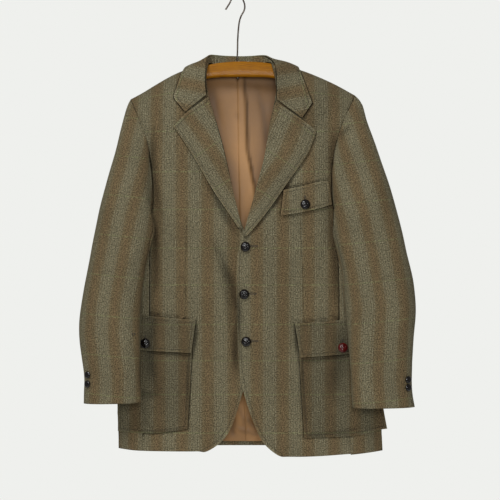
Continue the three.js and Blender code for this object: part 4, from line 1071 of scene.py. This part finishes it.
def woven_button(node, material, turn):
    foot, axis, radius, height = button_place(node)
    angles = [2 * math.pi * j / SPOKES for j in range(SPOKES)]
    round_it = [(math.cos(a), math.sin(a)) for a in angles]
    bm = bmesh.new()
    rows = []
    for i in range(RINGS + 1):
        r = i / RINGS
        row = []
        for c, s in round_it if i else round_it[:1]:
            x, y = r * c, r * s
            dome = math.sqrt(max(0.0, 1 - (0.93 * r) ** 2))
            plait = woven_height(x, y) * (1 - r ** 6)
            z = height * (0.3 + 0.56 * dome + 0.14 * plait * dome)
            row.append(bm.verts.new((x * radius * (1 - 0.02 * (1 - plait)), y * radius, z)))
        rows.append(row)
    for shrink, level in BUTTON_SIDE:
        rows.append([bm.verts.new((c * radius * shrink, s * radius * shrink, height * level))
                     for c, s in round_it])
    bridge(bm, rows)
    bm.faces.new(rows[-1][::-1])
    bmesh.ops.recalc_face_normals(bm, faces=bm.faces[:])
    mesh = mesh_of(bm, node + "_woven")
    across = Vector((0, 0, 1)).cross(axis).normalized()
    up = axis.cross(across)
    spin = Matrix.Rotation(math.radians(turn), 3, axis)
    basis = Matrix((spin @ across, spin @ up, axis)).transposed().to_4x4()
    mesh.transform(Matrix.Translation(foot + Vector(button_shift(node, foot))) @ basis)
    shade(mesh, 60)
    stand_for(link(node + "_woven", mesh), node, material)


for n, node in enumerate(sorted(n for n in frame["nodes"] if "button" in n)):
    red = node == "pocket_button_left"
    woven_button(node, OXBLOOD if red else LEATHER,
                 17 + 31 * n)


# ---- stitches ----
def caster(name):
    """A function that finds the front of a piece at a place in mm, and its normal there."""
    mesh = pieces[name]["obj"].data
    tree = BVHTree.FromPolygons([v.co.copy() for v in mesh.vertices],
                                [list(p.vertices) for p in mesh.polygons])
    return lambda x, z: tree.ray_cast(Vector((x * MM, -0.3, z * MM)), Vector((0, 1, 0)))[:2]


def contour(name, values, level):
    """Chains of points on a piece's outward faces where a value per vertex crosses a level."""
    mesh = pieces[name]["obj"].data
    co = read_points(mesh)
    out = move_out(name, co / MM)
    side = values - level
    links, spots = {}, {}
    for poly in mesh.polygons:
        ids = list(poly.vertices)
        s = side[ids]
        if s.min() > 0 or s.max() < 0 or Vector(out[ids[0]]).dot(poly.normal) < 0.2:
            continue
        ends = []
        for a, b in zip(ids, ids[1:] + ids[:1]):
            if (side[a] > 0) != (side[b] > 0):
                key = (min(a, b), max(a, b))
                t = side[a] / (side[a] - side[b])
                spots[key] = (co[a] * (1 - t) + co[b] * t, np.array(poly.normal))
                ends.append(key)
        if len(ends) == 2:
            links.setdefault(ends[0], []).append(ends[1])
            links.setdefault(ends[1], []).append(ends[0])
    chains, used = [], set()
    for start in sorted(links, key=lambda key: (len(links[key]), key)):
        chain, here = [], start
        while here and here not in used:
            used.add(here)
            chain.append(spots[here])
            here = next((n for n in links[here] if n not in used), None)
        if len(chain) > 3:
            chains.append(chain)
    return chains


# share of the way along, share of the radius, rise in radii
STITCH_RINGS = ((0.0, 0.35, -0.9), (0.2, 0.9, 0.1), (0.5, 1.0, 0.45), (0.8, 0.9, 0.1),
                (1.0, 0.35, -0.9))
SIX = [k * math.pi / 3 for k in range(6)]


def stitch(bm, a, b, normal, radius, raise_by=0.0):
    """A small rounded stitch that dives into the cloth at both ends."""
    a, b, normal = Vector(a), Vector(b), Vector(normal).normalized()
    along = b - a
    if along.length < 1e-5:
        return
    side = along.cross(normal).normalized()
    rings = []
    for t, size, rise in STITCH_RINGS:
        centre = a + along * t + normal * (radius * rise + raise_by)
        spokes = [side * math.cos(w) + normal * math.sin(w) for w in SIX]
        rings.append([bm.verts.new(centre + spoke * radius * size) for spoke in spokes])
    bridge(bm, rings)
    bm.faces.new(rings[0])
    bm.faces.new(rings[-1][::-1])


def run_stitches(bm, chain, length=0.003, gap=0.0016, radius=0.00028):
    """Stitches at even steps along a chain of (point, normal)."""
    points = np.array([p for p, n in chain])
    normals = np.array([n for p, n in chain])
    far = np.concatenate([[0], np.cumsum(np.linalg.norm(np.diff(points, axis=0), axis=1))])
    at = lambda rows, s: np.array([np.interp(s, far, rows[:, k]) for k in range(3)])
    s = gap
    while s + length < far[-1]:
        stitch(bm, at(points, s), at(points, s + length), at(normals, s + length / 2), radius)
        s += length + gap


def thread_piece(name, bm, material):
    bmesh.ops.recalc_face_normals(bm, faces=bm.faces[:])
    mesh = mesh_of(bm, name)
    mesh.shade_smooth()
    mesh.materials.append(material)
    obj = link(name, mesh)
    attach(obj, "root")
    return obj


STITCHED = ["front_right", "front_left", "lapel_right", "lapel_left", "collar", "pocket_right",
            "pocket_left", "pocket_flap_right", "pocket_flap_left", "chest_flap"]
for name in STITCHED:
    bm = bmesh.new()
    for chain in contour(name, pieces[name]["edge"], STITCH_IN):
        run_stitches(bm, chain)
    if name in FLAP_TOPS:
        co = read_points(pieces[name]["obj"].data) / MM
        below = read_off(FLAP_TOPS[name], co[:, 0]) - co[:, 2]
        for chain in contour(name, below, TOP_STITCH + STITCH_IN):
            run_stitches(bm, chain)
    pieces[name]["thread"] = thread_piece(name + "_stitching", bm, THREAD)

# ---- buttonholes ----
HOLES = [  # middle across and height, length, turned upright, piece
    (36, -533, 15, False, "front_left"), (33.5, -631, 15, False, "front_left"),
    (37, -729, 15, False, "front_left"), (142, -438, 17, True, "chest_flap"),
    (-188, -727, 17, True, "pocket_flap_right"), (220, -735, 17, True, "pocket_flap_left"),
]


WHIP = {"radius": 0.00034, "raise_by": 0.0001}


def buttonhole(n, x, z, length, upright, name):
    """Close stitches along both lips of a slit, and a fan of five round each end."""
    find = caster(name)
    bm = bmesh.new()

    def spot(along, off):
        dx, dz = (off, along) if upright else (along, off)
        return find(x + dx, z + dz)

    def whip(inner, outer):
        (a, normal), (b, _) = spot(*inner), spot(*outer)
        if a and b:
            stitch(bm, a, b, normal, **WHIP)

    steps = int(length / 0.75)
    for k in range(steps + 1):
        s = -length / 2 + length * k / steps
        for side in (-1, 1):
            whip((s, side * 0.35), (s, side * 1.9))
    for end in (-1, 1):
        for k in range(5):
            w = math.pi * k / 4
            whip(*((end * (length / 2 + math.sin(w) * r), math.cos(w) * r) for r in (0.4, 1.7)))
    return thread_piece(f"buttonhole_{n}", bm, DARK_THREAD)


holes = [buttonhole(n + 1, *hole) for n, hole in enumerate(HOLES)]


def snags(name, places):
    """Short dark yarns caught up from the cloth, 4.4 mm long."""
    find = caster(name)
    bm = bmesh.new()
    for x, z in places:
        (low_end, _), (high_end, normal) = find(x, z - 2.2), find(x, z + 2.2)
        stitch(bm, low_end, high_end, normal, 0.0012, 0.0008)
    return thread_piece(name + "_snags", bm, DARK_THREAD)


pieces["sleeve_right_top"]["thread"] = snags("sleeve_right_top", [(-210.5, -712), (-206.5, -712)])

# ---- what each piece of cloth was cut to, in metres, and its own area in square metres ----
CUT = {  # width, length and area of the right one, then of the left
    "front_{}": ((0.31, 0.83, 0.15), (0.31, 0.83, 0.15)),
    "back_{}": ((0.3, 0.82, 0.172), (0.3, 0.82, 0.176)),
    "side_{}": ((0.15, 0.51, 0.046), (0.15, 0.5, 0.048)),
    "sleeve_{}_top": ((0.24, 0.66, 0.098), (0.26, 0.67, 0.11)),
    "sleeve_{}_under": ((0.2, 0.62, 0.062), (0.22, 0.63, 0.072)),
    "collar": ((0.12, 0.55, 0.0255),), "collar_stand": ((0.045, 0.36, 0.0055),),
    "lapel_{}": ((0.12, 0.31, 0.0135), (0.13, 0.31, 0.016)),
    "pocket_{}": ((0.17, 0.24, 0.035), (0.18, 0.24, 0.0385)),
    "pocket_flap_{}": ((0.18, 0.085, 0.0125), (0.18, 0.085, 0.013)),
    "chest_flap": ((0.11, 0.065, 0.0054),),
    "lining_back_{}": ((0.27, 0.79, 0.15), (0.28, 0.79, 0.162)),
}


def declare(name, wide, long, area):
    extra = [pieces[name]["thread"]] if "thread" in pieces[name] else []
    extra += [h for h, spec in zip(holes, HOLES) if spec[4] == name]


for name, sizes in CUT.items():
    for side, size in zip(("right", "left"), sizes):
        declare(name.format(side), *size)

# ---- floor, light and camera ----
FLOOR_X, FLOOR_Z = 0.03, -1.28
FLOOR_RADIUS = 1.15


def floor_piece():
    """A pale disc that fades out at its rim."""
    bm = bmesh.new()
    rows = []
    for i in range(13):
        r = FLOOR_RADIUS * i / 12
        rows.append([bm.verts.new((FLOOR_X + r * math.cos(a), r * math.sin(a), FLOOR_Z))
                     for a in (2 * math.pi * j / 48 for j in range(48 if i else 1))])
    bridge(bm, rows)
    mesh = mesh_of(bm, "floor")
    k = Look("pale_floor")
    where = k.place()
    x, y = k.split(k.node("Mapping", {"Vector": where, "Location": (-FLOOR_X, 0, 0)}).outputs[0])
    far = k.math("SQRT", k.add(k.mul(x, x), k.mul(y, y)))
    cloud = k.ramp(k.noise(where, 5.0), 0.3, 0.7)
    k.set(color=k.mix(cloud, srgb(236, 236, 233), srgb(228, 228, 226)), roughness=0.8)
    clear = k.node("BsdfTransparent")
    blend = k.node("MixShader", {0: k.ramp(far, FLOOR_RADIUS * 0.55, FLOOR_RADIUS * 0.98)})
    k.tree.links.new(k.bsdf.outputs[0], blend.inputs[1])
    k.tree.links.new(clear.outputs[0], blend.inputs[2])
    k.tree.links.new(blend.outputs[0], k.out.inputs[0])
    mesh.materials.append(k.material)
    link("floor", mesh)


floor_piece()


AIM = Vector((0.03, 0.0, -0.5))
LIGHTS = [  # name, place, width, watts
    ("key", (-1.0, -2.3, 1.4), 1.1, 38), ("front", (0.1, -3.2, -0.1), 0.9, 32),
    ("back", (0.6, 2.4, 0.6), 1.6, 46),
]
for name, place, wide, power in LIGHTS:
    light = bpy.data.lights.new(name, "AREA")
    light.shape = "DISK"
    light.size = wide
    light.energy = power
    obj = link(name, light)
    obj.location = place
    obj.rotation_euler = (AIM - Vector(place)).to_track_quat("-Z", "Y").to_euler()

world = bpy.data.worlds.new("studio")
bpy.context.scene.world = world
world.use_nodes = True
tree = world.node_tree
tree.nodes.clear()
out, seen, lit, path, both = (tree.nodes.new("ShaderNode" + kind) for kind in (
    "OutputWorld", "Background", "Background", "LightPath", "MixShader"))
seen.inputs[0].default_value = srgb(239, 240, 237)
lit.inputs[0].default_value = (1.0, 1.0, 1.0, 1.0)
lit.inputs[1].default_value = 0.22
tree.links.new(path.outputs["Is Camera Ray"], both.inputs[0])
tree.links.new(lit.outputs[0], both.inputs[1])
tree.links.new(seen.outputs[0], both.inputs[2])
tree.links.new(both.outputs[0], out.inputs[0])

view_settings = bpy.context.scene.view_settings
view_settings.view_transform = "Standard"
view_settings.look = "None"

camera = bpy.data.cameras.new("camera")
camera.sensor_width = 36
camera.lens = 103
camera.clip_end = 50
view = link("camera", camera)
view.location = (0.0284, -3.004, -0.5408)
view.rotation_euler = (math.radians(90), 0, 0)
bpy.context.scene.camera = view
